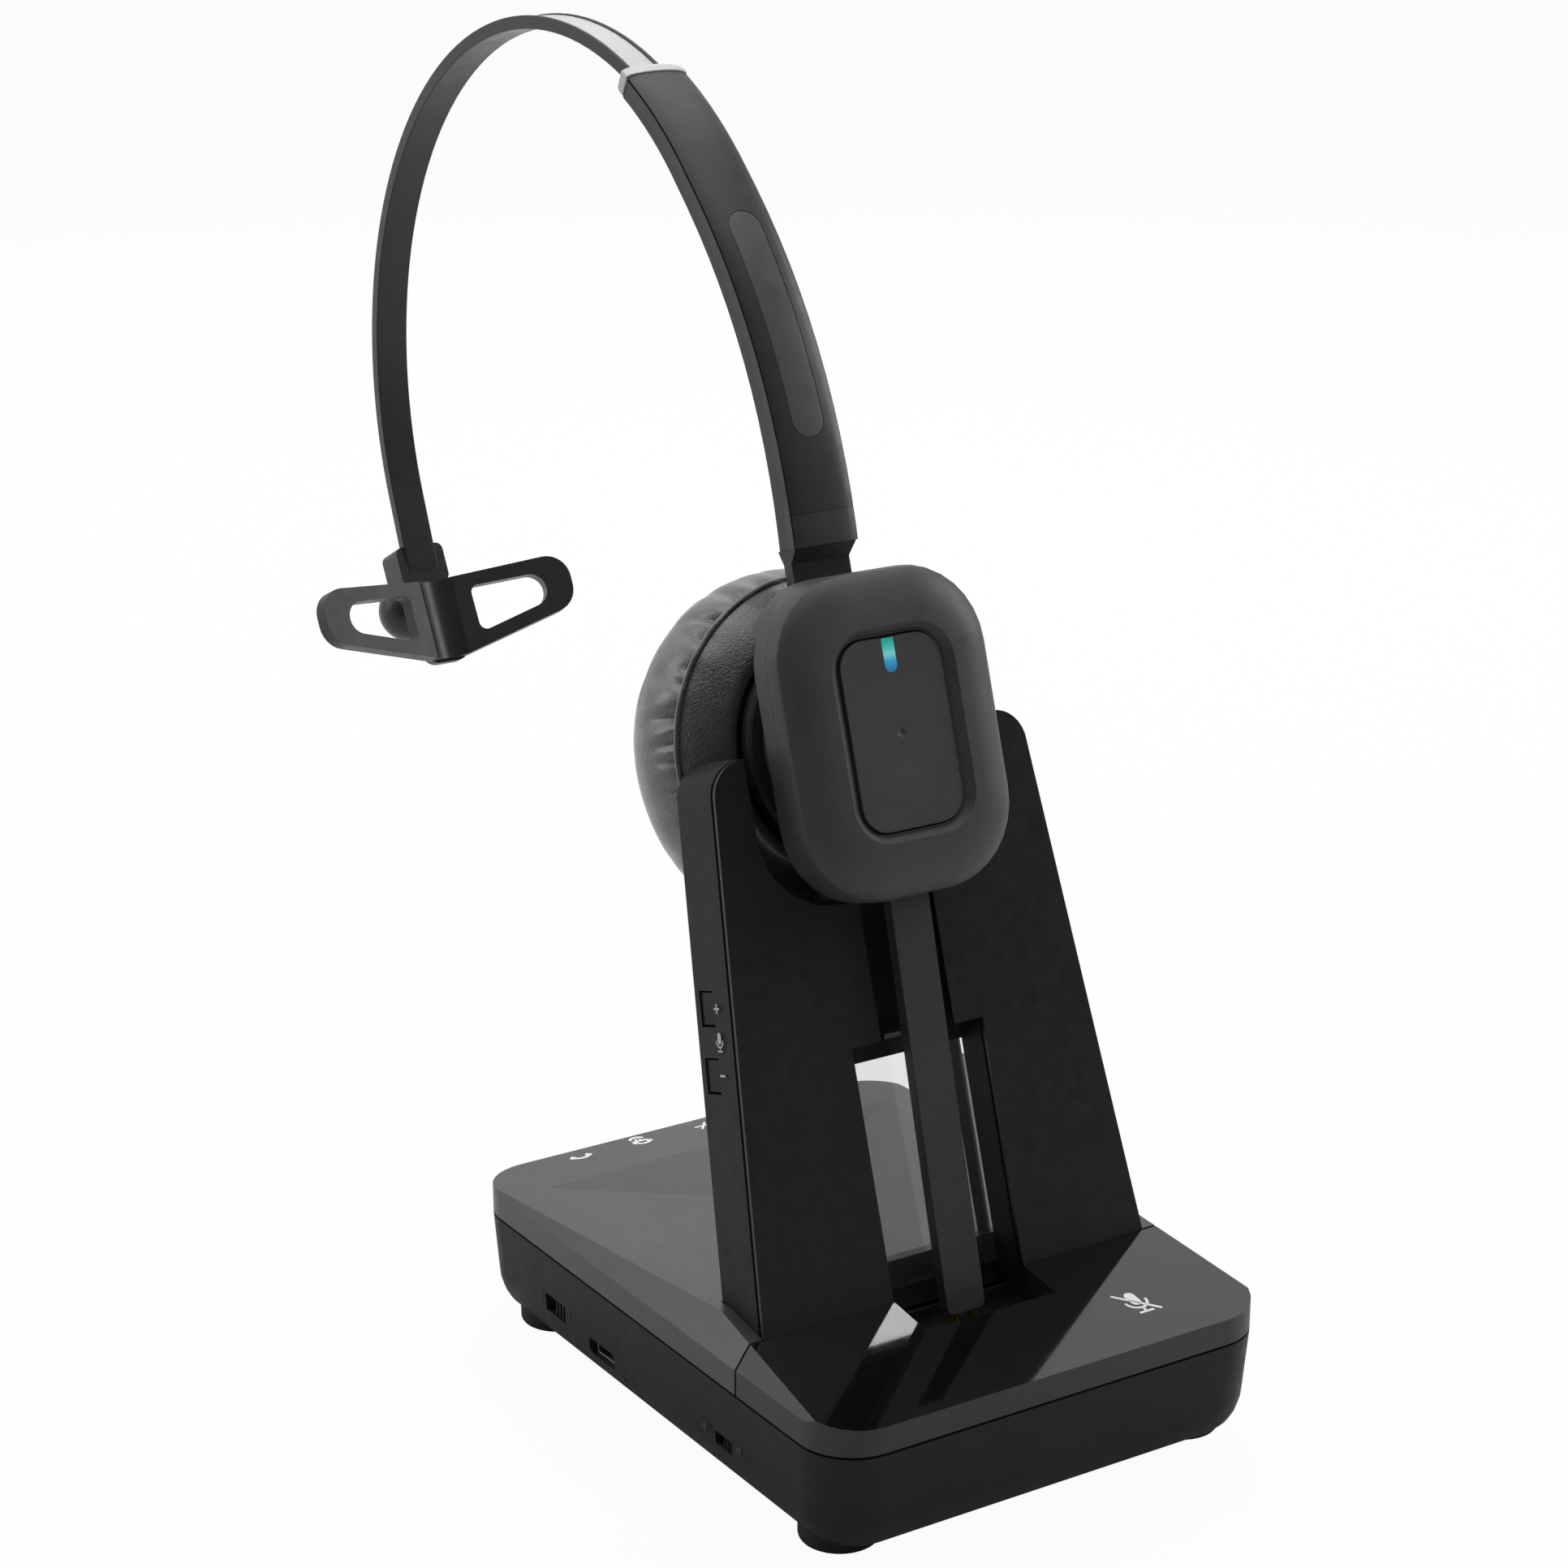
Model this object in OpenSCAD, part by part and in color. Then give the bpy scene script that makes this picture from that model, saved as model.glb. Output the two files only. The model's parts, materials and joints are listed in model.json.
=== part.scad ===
// Wireless mono office headset resting in its charging base.
// Origin: centre of the base's footprint, on the surface that it stands on. +Z up, front towards -Y.

/* [Base] */
// Width of the base
base_w = 90; // [86:1:96]
// Depth of the base
base_d = 121; // [118:1:128]
// Corner radius of the base in plan
base_corner = 10; // [8:1:12]
// Height of the seam between tray and covers
seam_z = 20.6; // [20:0.1:22]
// Height of the covers' vertical wall above the seam
cover_wall = 4.8; // [4.5:0.1:5.5]
// Wall thickness of tray and covers
wall = 2; // [1.6:0.1:2.2]

/* [Tower] */
// Lean of the tower from the vertical
lean = 17.58; // [16:0.1:19]
// Height of the tower along its face
tower_h = 94.8; // [92:0.1:98]
// Half width of the tower at the bottom
tower_foot = 39.4; // [38:0.1:40]
// Half width of the tower at the top
tower_top = 31.7; // [31:0.1:34]
// Thickness of the tower
tower_t = 13; // [12.8:0.1:13.2]
// Half width of the cradle cut-out
cradle_half = 25; // [24.8:0.1:25.5]
// Height where the cradle cut-out starts
cradle_s = 67.6; // [67:0.1:68]

/* [Earpiece] */
// Width of the earpiece housing
housing_w = 42; // [40:0.5:42]
// Height of the earpiece housing
housing_h = 55; // [53:0.5:55]
// Width of the microphone boom
boom_w = 7.75; // [7:0.05:8]
// Thickness of the microphone boom
boom_t = 2.4; // [2:0.1:2.6]
// Largest radius of the ear cushion
cushion_r = 31.1; // [30.5:0.1:31.5]

/* [Headband] */
// Outer radius of the slide band
band_r = 76; // [75.5:0.1:76.2]
// Width of the slide band
band_w = 6.8; // [6:0.1:7]
// Thickness of the slide band
band_t = 2.5; // [2.2:0.1:2.6]
// Half width of the head pad's centre gap
pad_root = 3.5; // [3:0.1:4]

/* [Hidden] */
fn_round = 64;
fn_small = 32;
eps = 0.05;
free_fit = 0.15;

// Base
tray_z = 1.5;
tray_draft = 0.0454;
tray_round_in = 6.4;
tray_round_up = 8.4;
wall_top = seam_z + cover_wall;
facet_slope = 0.7;
panel_gap_y = -30.9;
panel_gap = 0.45;
seam_half = 0.22;
seam_deep = 0.7;
front_slope = 0.1335;
rear_slope = 0.0675;
front_top = wall_top + 4.05;
ridge_y = (wall_top + rear_slope * base_d / 2 - front_top + front_slope * panel_gap_y)
    / (front_slope + rear_slope);
foot_r = 6.9;
foot_top = 3.6;
foot_x = 35.4;
foot_ys = [-47.6, 46.5];
screw_head_r = 3;
screw_r = 1.5;
boss_r = 3.6;
foot_boss_r = 8.6;
foot_boss_top = 7;
pcb_z = 5.6;
pcb_t = 1.6;
pcb_top = pcb_z + pcb_t;
usb_y = 14.55;
usb_x = -43.2;
usb_back = -38.1;
usb_w = 7.5;
usb_h = 2.6;
usb_wall = 0.35;
usb_hole_w = 8.9;
usb_hole_z = [7.1, 10.3];
usb_hole_r = 1.1;
ringer_slot = [27.2, 34.4, 9.1, 12.5];
speaker_slot = [-28.9, -23.7, 8.7, 11.1];
knob_gap = 0.1;
pocket_half = 13.4;
pocket_front = -40.6;
pocket_back = -27.4;
pocket_floor = 22.6;
tub_wall = 1.5;

// Tower
tower_y = panel_gap_y;
tower_z = front_top;
tower_sink = -3.6;
tower_corner = 6.3;
cradle_r = 14;
slot_half = 7.5;
slot_s = 43.4;
window_half = 13.45;
face_t = 0.7;
face_gap = 1.5;
tongue_in = 2.2;
cradle_chamfer = 2.7;
edge_back = 0.3;
edge_in = 0.2;
frame_n = -8.7;
sill_s = 5;
lintel_s = 39.5;
pane_t = 1.1;
key_n = [-10.9, -6.9];
key_deep = 5.2;
key_w = 5.5;
plus_s = 54.45;
minus_s = 43.2;
key_gap = 0.3;
key_travel = 0.5;
stem_half = 0.8;
stem_n = -8.5;
board_x = -27.6;

// Earpiece, in the tower's frame: x across, s up the tower, n out of its face
ear_s = 94;
house_s = 94.7;
house_r = 14.8;
rim_n = 7.1;
seam_n = 5;
pillow_n = 11.2;
dish_w = 24.5;
dish_h = 35.8;
dish_r = 7;
button_w = 20.1;
button_h = 32.2;
button_r = 4.8;
button_n = 10.3;
button_gap = 0.3;
dimple_r = 1;
dimple_lift = 0.6;
flange_n = 7.6;
lip_n = 8.55;
ring_n = 1;
shoulder_n = -1.5;
shoulder_s = 114;
cup_r = 17.5;
cup_n = -6;
hub_r = 11;
hub_hole_r = 8;
yoke_r = 20;
yoke_n = [-8.75, -6.25];
carrier_n = [-11.6, -9];
carrier_r = 21.6;
running_fit = 0.05;
slide_fit = 0.1;
cushion_s = 93.6;
boom_top_s = 82;
boom_tip_s = -4.9;
boom_tip_r = 1.5;
boom_front_n = 4.26;
boom_front_s = 67;
boom_tilt = 2.6;
pin_x = 2;
pin_r = 0.8;
neck_half = 5.85;
neck_s = 125.2;
sleeve_foot_s = 127.6;

// Headband, in the middle plane: arc centres and angles in the (y, z) plane
band_y = 99.3;
band_z = 153.7;
sleeve_r = 77.6;
sleeve_low_r = 133.6;
sleeve_bulge = 0.9;
collar_a = [113.5, 116.1];
join_a = 134.5;
sleeve_end_a = 165.3;
band_end_a = 140;
tail_a = -22;
tail_len = 18.4;
low_y = band_y + (sleeve_r - sleeve_low_r) * cos(join_a);
low_z = band_z + (sleeve_r - sleeve_low_r) * sin(join_a);
sleeve_split = 3.4;
sleeve_top = 5.7;
sleeve_foot_extra = 1.4;
sleeve_side = 1.3;
collar_side = 1.85;
sleeve_line = [0.95, 1.35];
line_deep = 0.35;
sleeve_edge = 0.9;
crown_drop = 0.5;
crown_edge = 0.4;
collar_grow = 0.25;
collar_lift = 0.5;
mouth_in = 1;
mouth_a = 115.3;
strip_w = 5.2;
strip_t = 0.4;
strip_sunk = 0.3;
strip_a = [-21, 138];
label_a = [138.4, 156.3];
label_w = 6.2;
label_t = 0.45;
label_sunk = 0.05;
label_gap = 0.1;

// Head pad, in its own frame: x across, u up, w towards the head
pad_y = 153;
pad_z = 103.6;
pad_lean = 27.5;
wing_v = 11.6;
pad_t = 3;
spine_w = -4.6;
spine_u = [-8.7, 5.5];
groove_r = 4.6;
groove_deep = 1.6;
ball_u = 5.3;
ball_w = -15.3;
ball_r = 4.4;
ball_fit = 0.08;
cup_ball_r = 6.35;
stud_r = 2;
stud_room_r = 3.1;
clip_half = 5.3;
clip_u = [8.4, 16.5];
clip_w = [-11.3, -3.9];
clip_corner = 1.5;
line_w = 0.3;

// ---------- helpers ----------

// Points of a rounded rectangle centred on the origin.
function rounded(w, h, r, steps = 8) = [
    for (q = [0 : 3])
        for (i = [0 : steps])
            let (
                a = 90 * q + 90 * i / steps,
                cx = (q == 0 || q == 3 ? 1 : -1) * (w / 2 - r),
                cy = (q < 2 ? 1 : -1) * (h / 2 - r)
            )
            [cx + r * cos(a), cy + r * sin(a)]
];

// Half width of the tower at height s.
function tower_half(s) = tower_foot + (tower_top - tower_foot) * s / tower_h;

// Height of the roof over the base at depth y.
function roof_front(y) = front_top + front_slope * (y - panel_gap_y);
function roof_rear(y) = wall_top + rear_slope * (base_d / 2 - y);

// Front of the boom at height s.
function boom_n(s) = boom_front_n + (s - boom_front_s) * tan(boom_tilt);

module plate(w, h, r, t) {
    linear_extrude(t) polygon(rounded(w, h, r));
}

module on_tower() {
    translate([0, tower_y, tower_z]) rotate([90 - lean, 0, 0]) children();
}

module in_band_plane() {
    translate([0, band_y, band_z]) rotate([90, 0, 90]) children();
}

module on_pad() {
    translate([0, pad_y, pad_z]) rotate([90 - pad_lean, 0, 0]) children();
}

// A bar that follows an arc in the drawing plane, centred on it.
module arc_bar(r_in, r_out, w, from, to) {
    rotate([0, 0, from]) rotate_extrude(angle = to - from, $fn = fn_round)
        translate([r_in, -w / 2]) square([r_out - r_in, w]);
}

// A closed solid through rings of equal point count.
module skin(rings) {
    n = len(rings[0]);
    m = len(rings);
    polyhedron(
        points = [for (ring = rings) each ring],
        faces = concat(
            [[for (i = [0 : n - 1]) n - 1 - i]],
            [for (k = [0 : m - 2]) for (i = [0 : n - 1])
                let (j = (i + 1) % n)
                [k * n + i, k * n + j, (k + 1) * n + j, (k + 1) * n + i]],
            [[for (i = [0 : n - 1]) (m - 1) * n + i]]
        )
    );
}

// ---------- base ----------

// The tray's outside, or its inside when grown by a negative amount.
module tray_form(inset) {
    side_z = tray_z + tray_round_up;
    draft = (seam_z - side_z) * tray_draft;
    hull() {
        translate([0, 0, seam_z - 0.01])
            plate(base_w - 2 * inset, base_d - 2 * inset, base_corner - inset, 0.01);
        for (a = [0 : 15 : 90]) {
            pull = inset + draft + (tray_round_in - inset) * (1 - cos(a));
            translate([0, 0, side_z - (tray_round_up - inset) * sin(a)])
                plate(base_w - 2 * pull, base_d - 2 * pull, base_corner - pull + 1, 0.01);
        }
    }
}

// Fine open seam all round between the tray and the covers.
module seam_groove() {
    translate([0, 0, seam_z - seam_half]) linear_extrude(2 * seam_half) difference() {
        square(2 * base_d, center = true);
        polygon(rounded(base_w - 2 * seam_deep, base_d - 2 * seam_deep, base_corner - seam_deep));
    }
}

module at_feet() {
    for (x = [-foot_x, foot_x])
        for (y = foot_ys)
            translate([x, y, 0]) children();
}

module foot_screw() {
    translate([0, 0, foot_top]) cylinder(r = screw_head_r, h = 1.6, $fn = fn_round);
    translate([0, 0, foot_top]) cylinder(r = screw_r, h = 11, $fn = fn_round);
}

module side_slot(slot) {
    translate([-base_w, slot[0], slot[2]])
        cube([base_w / 2 + 4, slot[1] - slot[0], slot[3] - slot[2]]);
}

module base_tray() {
    color("#333333")
    difference() {
        tray_form(0);
        difference() {
            tray_form(wall);
            at_feet() cylinder(r = foot_boss_r, h = foot_boss_top, $fn = fn_round);
            for (x = [-31, 31])
                for (y = [-34, 33])
                    translate([x, y, 0]) cylinder(r = 2.2, h = pcb_z, $fn = fn_round);
        }
        translate([0, 0, seam_z - 0.3])
            plate(base_w - 2 * wall, base_d - 2 * wall, base_corner - wall, 1);
        at_feet() {
            translate([0, 0, -1]) cylinder(r = foot_r + eps, h = foot_top + 1, $fn = fn_round);
            foot_screw();
        }
        side_slot(ringer_slot);
        side_slot(speaker_slot);
        translate([-base_w, usb_y, (usb_hole_z[0] + usb_hole_z[1]) / 2]) rotate([90, 0, 90])
            plate(usb_hole_w, usb_hole_z[1] - usb_hole_z[0], usb_hole_r, base_w / 2 + 4);
        seam_groove();
    }
}

// The closed form of both covers, drawn in by inset on every outer face.
module cover_form(inset) {
    intersection() {
        translate([0, 0, seam_z - (inset > 0 ? 1 : 0)])
            plate(base_w - 2 * inset, base_d - 2 * inset, base_corner - inset, 16);
        rotate([90, 0, 90]) linear_extrude(2 * base_w, center = true) polygon([
            [-base_d, 0],
            [base_d, 0],
            [base_d, roof_rear(base_d) - inset],
            [ridge_y, roof_rear(ridge_y) - inset],
            [-base_d, roof_front(-base_d) - inset]
        ]);
        rotate([90, 0, 0]) linear_extrude(2 * base_d, center = true) polygon([
            [-base_w / 2, 0],
            [base_w / 2, 0],
            [base_w / 2, wall_top - inset],
            [base_w / 2 - facet_slope * 14, wall_top + 14 - inset],
            [facet_slope * 14 - base_w / 2, wall_top + 14 - inset],
            [-base_w / 2, wall_top - inset]
        ]);
    }
}

// The tower's block below and through the roof, with room around it.
module tower_well(room) {
    on_tower() translate([0, 0, -tower_t - room]) linear_extrude(tower_t + 2 * room) polygon([
        [-tower_half(tower_sink) - room, tower_sink - room],
        [tower_half(tower_sink) + room, tower_sink - room],
        [tower_half(12) + room, 12],
        [-tower_half(12) - room, 12]
    ]);
}

// The hollow in the roof behind the tower: three sloping planes, lowered by drop.
module recess_form(drop) {
    rim = [[-37.2, 47], [37.2, 47], [39.2, -17], [-39.2, -17]];
    hull() polyhedron(
        points = concat(
            [for (p = rim) [p[0], p[1], roof_rear(p[1]) - drop]],
            [for (p = rim) [p[0], p[1], roof_rear(p[1]) + 8]],
            [[0, 21.6, roof_rear(21.6) - 3.5 - drop], [0, -17, roof_rear(-17) - 4 - drop]]
        ),
        faces = [[0, 1, 2, 3], [7, 6, 5, 4], [0, 4, 5, 1], [1, 5, 6, 2], [2, 6, 7, 3], [3, 7, 4, 0],
            [0, 8, 9]]
    );
}

module cover_boss(y) {
    for (x = [-foot_x, foot_x])
        translate([x, y, foot_boss_top])
            cylinder(r = boss_r, h = wall_top - foot_boss_top, $fn = fn_round);
}

module y_half(from, to) {
    translate([-base_w, from, -5]) cube([2 * base_w, to - from, 60]);
}

module rear_cover() {
    color("#6c6c6c")
    difference() {
        intersection() {
            union() {
                difference() {
                    cover_form(0);
                    difference() {
                        cover_form(wall);
                        recess_form(1.8);
                    }
                }
                cover_boss(foot_ys[1]);
            }
            y_half(panel_gap_y + panel_gap / 2, base_d);
        }
        recess_form(0);
        tower_well(free_fit);
        at_feet() foot_screw();
        seam_groove();
    }
}

// Space that the boom's tip dips into, in front of and under the tower.
module pocket_form(inset, floor_z, top) {
    translate([-pocket_half - inset, pocket_front - inset, floor_z])
        cube([2 * (pocket_half + inset), pocket_back - pocket_front + 2 * inset, top - floor_z]);
}

module pin_hole(r) {
    for (x = [-pin_x, pin_x])
        on_tower() translate([x, boom_tip_s - 4.1, -0.3]) rotate([-90, 0, 0])
            cylinder(r = r, h = 3.7, $fn = fn_small);
}

module front_panel() {
    color("#1b1b1b")
    difference() {
        union() {
            difference() {
                intersection() {
                    cover_form(0);
                    y_half(-base_d, panel_gap_y - panel_gap / 2);
                }
                cover_form(wall);
            }
            intersection() {
                cover_boss(foot_ys[0]);
                cover_form(0);
            }
            intersection() {
                pocket_form(tub_wall, pocket_floor - tub_wall, 40);
                union() {
                    cover_form(wall / 2);
                    translate([-30, -60, 10]) cube([60, 40, 15.4]);
                }
            }
        }
        pocket_form(0, pocket_floor, 40);
        tower_well(free_fit);
        at_feet() foot_screw();
        seam_groove();
        pin_hole(pin_r);
    }
}

module rubber_feet() {
    color("#151515")
    at_feet() {
        cylinder(r1 = foot_r - 0.6, r2 = foot_r, h = 0.6, $fn = fn_round);
        translate([0, 0, 0.6]) cylinder(r = foot_r, h = foot_top - 0.6, $fn = fn_round);
    }
}

module tray_screws() {
    color("silver") at_feet() foot_screw();
}

module base_pcb() {
    color("darkgreen")
    translate([-40.9, -38, pcb_z]) cube([75.9, 74, pcb_t]);
}

module ballast_plate() {
    color("slategray")
    translate([-27, -34, tray_z + wall]) cube([54, 66, 1.9]);
}

module micro_usb_socket() {
    color("silver") {
        difference() {
            translate([usb_x, usb_y - usb_w / 2, pcb_top]) cube([usb_back - usb_x, usb_w, usb_h]);
            translate([usb_x - 1, usb_y - usb_w / 2 + usb_wall, pcb_top + usb_wall])
                cube([usb_back - usb_x, usb_w - 2 * usb_wall, usb_h - 2 * usb_wall]);
        }
        translate([usb_x + 0.9, usb_y - 2.4, pcb_top + 1.05])
            cube([usb_back - usb_x - 1.5, 4.8, 0.6]);
    }
}

module slide_switches() {
    color("silver")
    for (slot = [ringer_slot, speaker_slot])
        difference() {
            translate([-41, slot[0] - 1, pcb_top]) cube([3.4, slot[1] - slot[0] + 2, 4.6]);
            translate([-42, slot[0] + 0.6, pcb_top + 2.1])
                cube([2.2, slot[1] - slot[0] - 1.2, 1.4]);
        }
}

// A slider with three finger ribs and a stem that runs in its switch.
module knob(y0, w, slot) {
    height = slot[3] - slot[2] - 2 * knob_gap;
    rib = w / 7;
    difference() {
        translate([-44.3, y0, slot[2] + knob_gap]) cube([2.9, w, height]);
        for (i = [0 : 2])
            translate([-45, y0 + rib * (2 * i + 1), slot[2]]) cube([1.1, rib, height + 1]);
    }
    translate([-41.4, y0 + w / 2 - 0.6, pcb_top + 2.2]) cube([1.4, 1.2, 1.2]);
}

module ringer_knob() {
    color("#1a1a1a") knob(ringer_slot[0] + knob_gap, 3.9, ringer_slot);
}

module speaker_knob() {
    color("#1a1a1a") knob(speaker_slot[0] + knob_gap, 2.6, speaker_slot);
}

module ringer_speaker() {
    color("dimgray")
    translate([8, 18, pcb_top]) difference() {
        cylinder(r = 13, h = 6, $fn = fn_round);
        translate([0, 0, 5]) cylinder(r = 11, h = 2, $fn = fn_round);
    }
}

module charging_pins() {
    color("goldenrod") pin_hole(pin_r);
}

// ---------- tower ----------

// The tower's outline at full size, less inset.
module tower_outline(inset) {
    hull() {
        for (side = [-1, 1])
            translate([side * (tower_half(tower_h) - tower_corner), tower_h - tower_corner])
                circle(r = tower_corner - inset, $fn = fn_small);
        translate([0, tower_sink])
            polygon([
                [-tower_half(tower_sink) + inset, 0],
                [tower_half(tower_sink) - inset, 0],
                [0, 1]
            ]);
    }
}

module tower_solid(inset) {
    hull() {
        translate([0, 0, edge_back - tower_t + inset])
            linear_extrude(tower_t - edge_back - face_gap - inset) tower_outline(inset);
        translate([0, 0, inset - tower_t]) linear_extrude(0.1) tower_outline(edge_in + inset);
    }
}

// The cradle's opening in plan, grown by extra.
module cradle_outline(extra) {
    hull() {
        for (side = [-1, 1])
            translate([side * (cradle_half - cradle_r), cradle_s + cradle_r])
                circle(r = cradle_r + extra, $fn = fn_small);
        translate([-cradle_half - extra, tower_h])
            square([2 * (cradle_half + extra), 10]);
    }
}

module cradle_cut(extra) {
    translate([0, 0, -20]) linear_extrude(40) cradle_outline(extra);
    hull() {
        translate([0, 0, -tower_t - 1]) linear_extrude(1) cradle_outline(extra + cradle_chamfer);
        translate([0, 0, cradle_chamfer - tower_t - extra]) linear_extrude(0.01)
            cradle_outline(extra);
    }
}

module box_at(x0, x1, s0, s1, n0, n1) {
    translate([x0, s0, n0]) cube([x1 - x0, s1 - s0, n1 - n0]);
}

module key_box(s, gap, behind = 0) {
    box_at(-45, -tower_half(s) + key_deep + gap + behind, s - key_w / 2 - gap, s + key_w / 2 + gap,
        key_n[0] - gap, key_n[1] + gap);
}

module tower_shell() {
    tube = 1.6;
    color("#2c2c2c")
    on_tower() difference() {
        tower_solid(0);
        difference() {
            tower_solid(2);
            cradle_cut(1.6);
            box_at(-window_half - tube, window_half + tube, tower_sink, slot_s + tube, -20, 5);
            box_at(-slot_half - tube, slot_half + tube, slot_s, cradle_s + 5, -20, 5);
            for (s = [plus_s, minus_s])
                key_box(s, 1.4, key_travel);
        }
        cradle_cut(0);
        box_at(-window_half, window_half, tower_sink - 2, slot_s, frame_n, 5);
        box_at(-window_half, window_half, sill_s, lintel_s, -20, 0);
        box_at(-slot_half, slot_half, slot_s - 1, cradle_s + 2, -tower_t + 2, 5);
        for (s = [plus_s, minus_s]) {
            key_box(s, key_gap, key_travel);
            key_stem(s, 0.2);
        }
        difference() {
            translate([0, 0, -face_gap - 0.95]) linear_extrude(2) tower_outline(tongue_in - 0.15);
            cradle_cut(1.7);
            box_at(-window_half - tube - 0.05, window_half + tube + 0.05, -9, slot_s + tube + 0.05,
                -20, 5);
            box_at(-slot_half - tube - 0.05, slot_half + tube + 0.05, slot_s, cradle_s + 5, -20, 5);
        }
    }
}

module tower_face() {
    color("#252525")
    on_tower() difference() {
        union() {
            translate([0, 0, -face_t]) linear_extrude(face_t) tower_outline(0);
            difference() {
                translate([0, 0, -face_gap - 0.9]) linear_extrude(face_gap + 0.3)
                    tower_outline(tongue_in);
                cradle_cut(1.8);
                box_at(-window_half - 1.75, window_half + 1.75, -9, slot_s + 1.75, -20, 5);
                box_at(-slot_half - 1.75, slot_half + 1.75, slot_s, cradle_s + 5, -20, 5);
                translate([0, 0, -8]) linear_extrude(7.2) tower_outline(tongue_in + 1.8);
            }
        }
        translate([0, 0, -20]) linear_extrude(40) cradle_outline(0);
        box_at(-window_half, window_half, tower_sink - 2, slot_s, -20, 5);
        box_at(-slot_half, slot_half, slot_s - 1, cradle_s + 2, -20, 5);
    }
}

module window_pane() {
    color("gainsboro", 0.6)
    on_tower() box_at(-window_half + eps, window_half - eps, 0.3, slot_s - eps,
        frame_n, frame_n + pane_t);
}

// Stem from a volume key to its switch.
module key_stem(s, room) {
    half = stem_half + room;
    box_at(-tower_half(s) + key_deep - 0.5, board_x - key_travel - 0.1 + 2 * room,
        s - half, s + half, stem_n - half, stem_n + half);
}

// A volume key that follows the shell's side.
module key(s) {
    on_tower() {
        intersection() {
            tower_solid(0.25);
            key_box(s, 0);
        }
        key_stem(s, 0);
    }
}

module mic_up_key() {
    color("#303030") key(plus_s);
}

module mic_down_key() {
    color("#303030") key(minus_s);
}

module key_board() {
    color("darkgreen")
    on_tower() box_at(board_x, board_x + 1.2, minus_s - 5, plus_s + 5, -10.2, -4);
}

// ---------- earpiece ----------

module at_ear(s = ear_s) {
    on_tower() translate([0, s, 0]) children();
}

// Pillow-shaped front of the housing, drawn in by inset.
module pillow(inset) {
    hull() {
        translate([0, 0, seam_n - (inset > 0 ? 0.5 : 0)])
            plate(housing_w - 2 * inset, housing_h - 2 * inset, house_r - inset, 0.1);
        for (a = [0 : 15 : 90]) {
            k = 1 - cos(a);
            w = housing_w + (dish_w - housing_w) * k;
            h = housing_h + (dish_h - housing_h) * k;
            r = house_r + (dish_r - house_r) * k;
            translate([0, 0, rim_n + (pillow_n - rim_n) * sin(a) - inset - 0.01])
                plate(w - 2 * inset, h - 2 * inset, r - inset * 0.6, 0.01);
        }
    }
}

module housing_front() {
    color("#484848")
    at_ear(house_s) difference() {
        pillow(0);
        difference() {
            pillow(1.6);
            translate([0, 0, lip_n]) plate(dish_w + 2, dish_h + 2, dish_r, 5);
        }
        translate([0, 0, 2])
            plate(button_w + 2 * button_gap, button_h + 2 * button_gap, button_r + button_gap, 20);
        hull() {
            translate([0, 0, pillow_n]) plate(dish_w, dish_h, dish_r, 1);
            translate([0, 0, button_n - 0.6])
                plate(button_w + 1.2, button_h + 1.2, button_r + 0.6, 0.01);
        }
        translate([0, 0, seam_n - 1]) linear_extrude(1.8) difference() {
            polygon(rounded(housing_w - 3.2, housing_h - 3.2, house_r - 1.6));
            polygon(rounded(housing_w - 8, housing_h - 8, house_r - 4));
        }
    }
}

// The boom's bar, grown by room on its sides.
module boom_bar(room) {
    half = boom_w / 2 + room;
    on_tower() intersection() {
        translate([0, (boom_tip_s + boom_top_s + room) / 2, -10])
            plate(2 * half, boom_top_s - boom_tip_s + room, boom_tip_r, 30);
        rotate([0, -90, 0]) linear_extrude(4 * boom_w, center = true) polygon([
            [boom_n(boom_tip_s - 2) + room, boom_tip_s - 2],
            [boom_n(boom_top_s + 2) + room, boom_top_s + 2],
            [boom_n(boom_top_s + 2) - boom_t - room, boom_top_s + 2],
            [boom_n(boom_tip_s - 2) - boom_t - room, boom_tip_s - 2]
        ]);
    }
}

module carrier_screw() {
    translate([0, 0, -13]) cylinder(r = 1.9, h = 1.4, $fn = fn_small);
    translate([0, 0, -13]) cylinder(r = 1, h = 8, $fn = fn_small);
}

module at_carrier_screws() {
    for (a = [30, 150, 270])
        rotate([0, 0, a]) translate([(hub_r + hub_hole_r) / 2, 0, 0]) children();
}

module housing_back() {
    color("#3a3a3a")
    difference() {
        union() {
            at_ear(house_s) {
                difference() {
                    translate([0, 0, ring_n])
                        plate(housing_w, housing_h, house_r, seam_n - ring_n);
                    translate([0, 0, ring_n + 1.2])
                        plate(housing_w - 3.6, housing_h - 3.6, house_r - 1.8, 6);
                }
                intersection() {
                    translate([0, 0, shoulder_n])
                        plate(housing_w, housing_h, house_r, ring_n - shoulder_n);
                    translate([-30, shoulder_s - house_s, -5]) cube([60, 30, 20]);
                }
            }
            at_ear() translate([0, 0, cup_n])
                cylinder(r = cup_r, h = ring_n - cup_n, $fn = fn_round);
            at_ear() translate([0, 0, carrier_n[1]])
                cylinder(r = hub_r, h = cup_n - carrier_n[1], $fn = fn_round);
        }
        at_ear() {
            translate([0, 0, cup_n + 1.4]) cylinder(r = cup_r - 1.4, h = 12, $fn = fn_round);
            translate([0, 0, -20]) cylinder(r = hub_hole_r, h = 20, $fn = fn_round);
            at_carrier_screws() carrier_screw();
        }
        boom_bar(0.03);
    }
}

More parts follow.
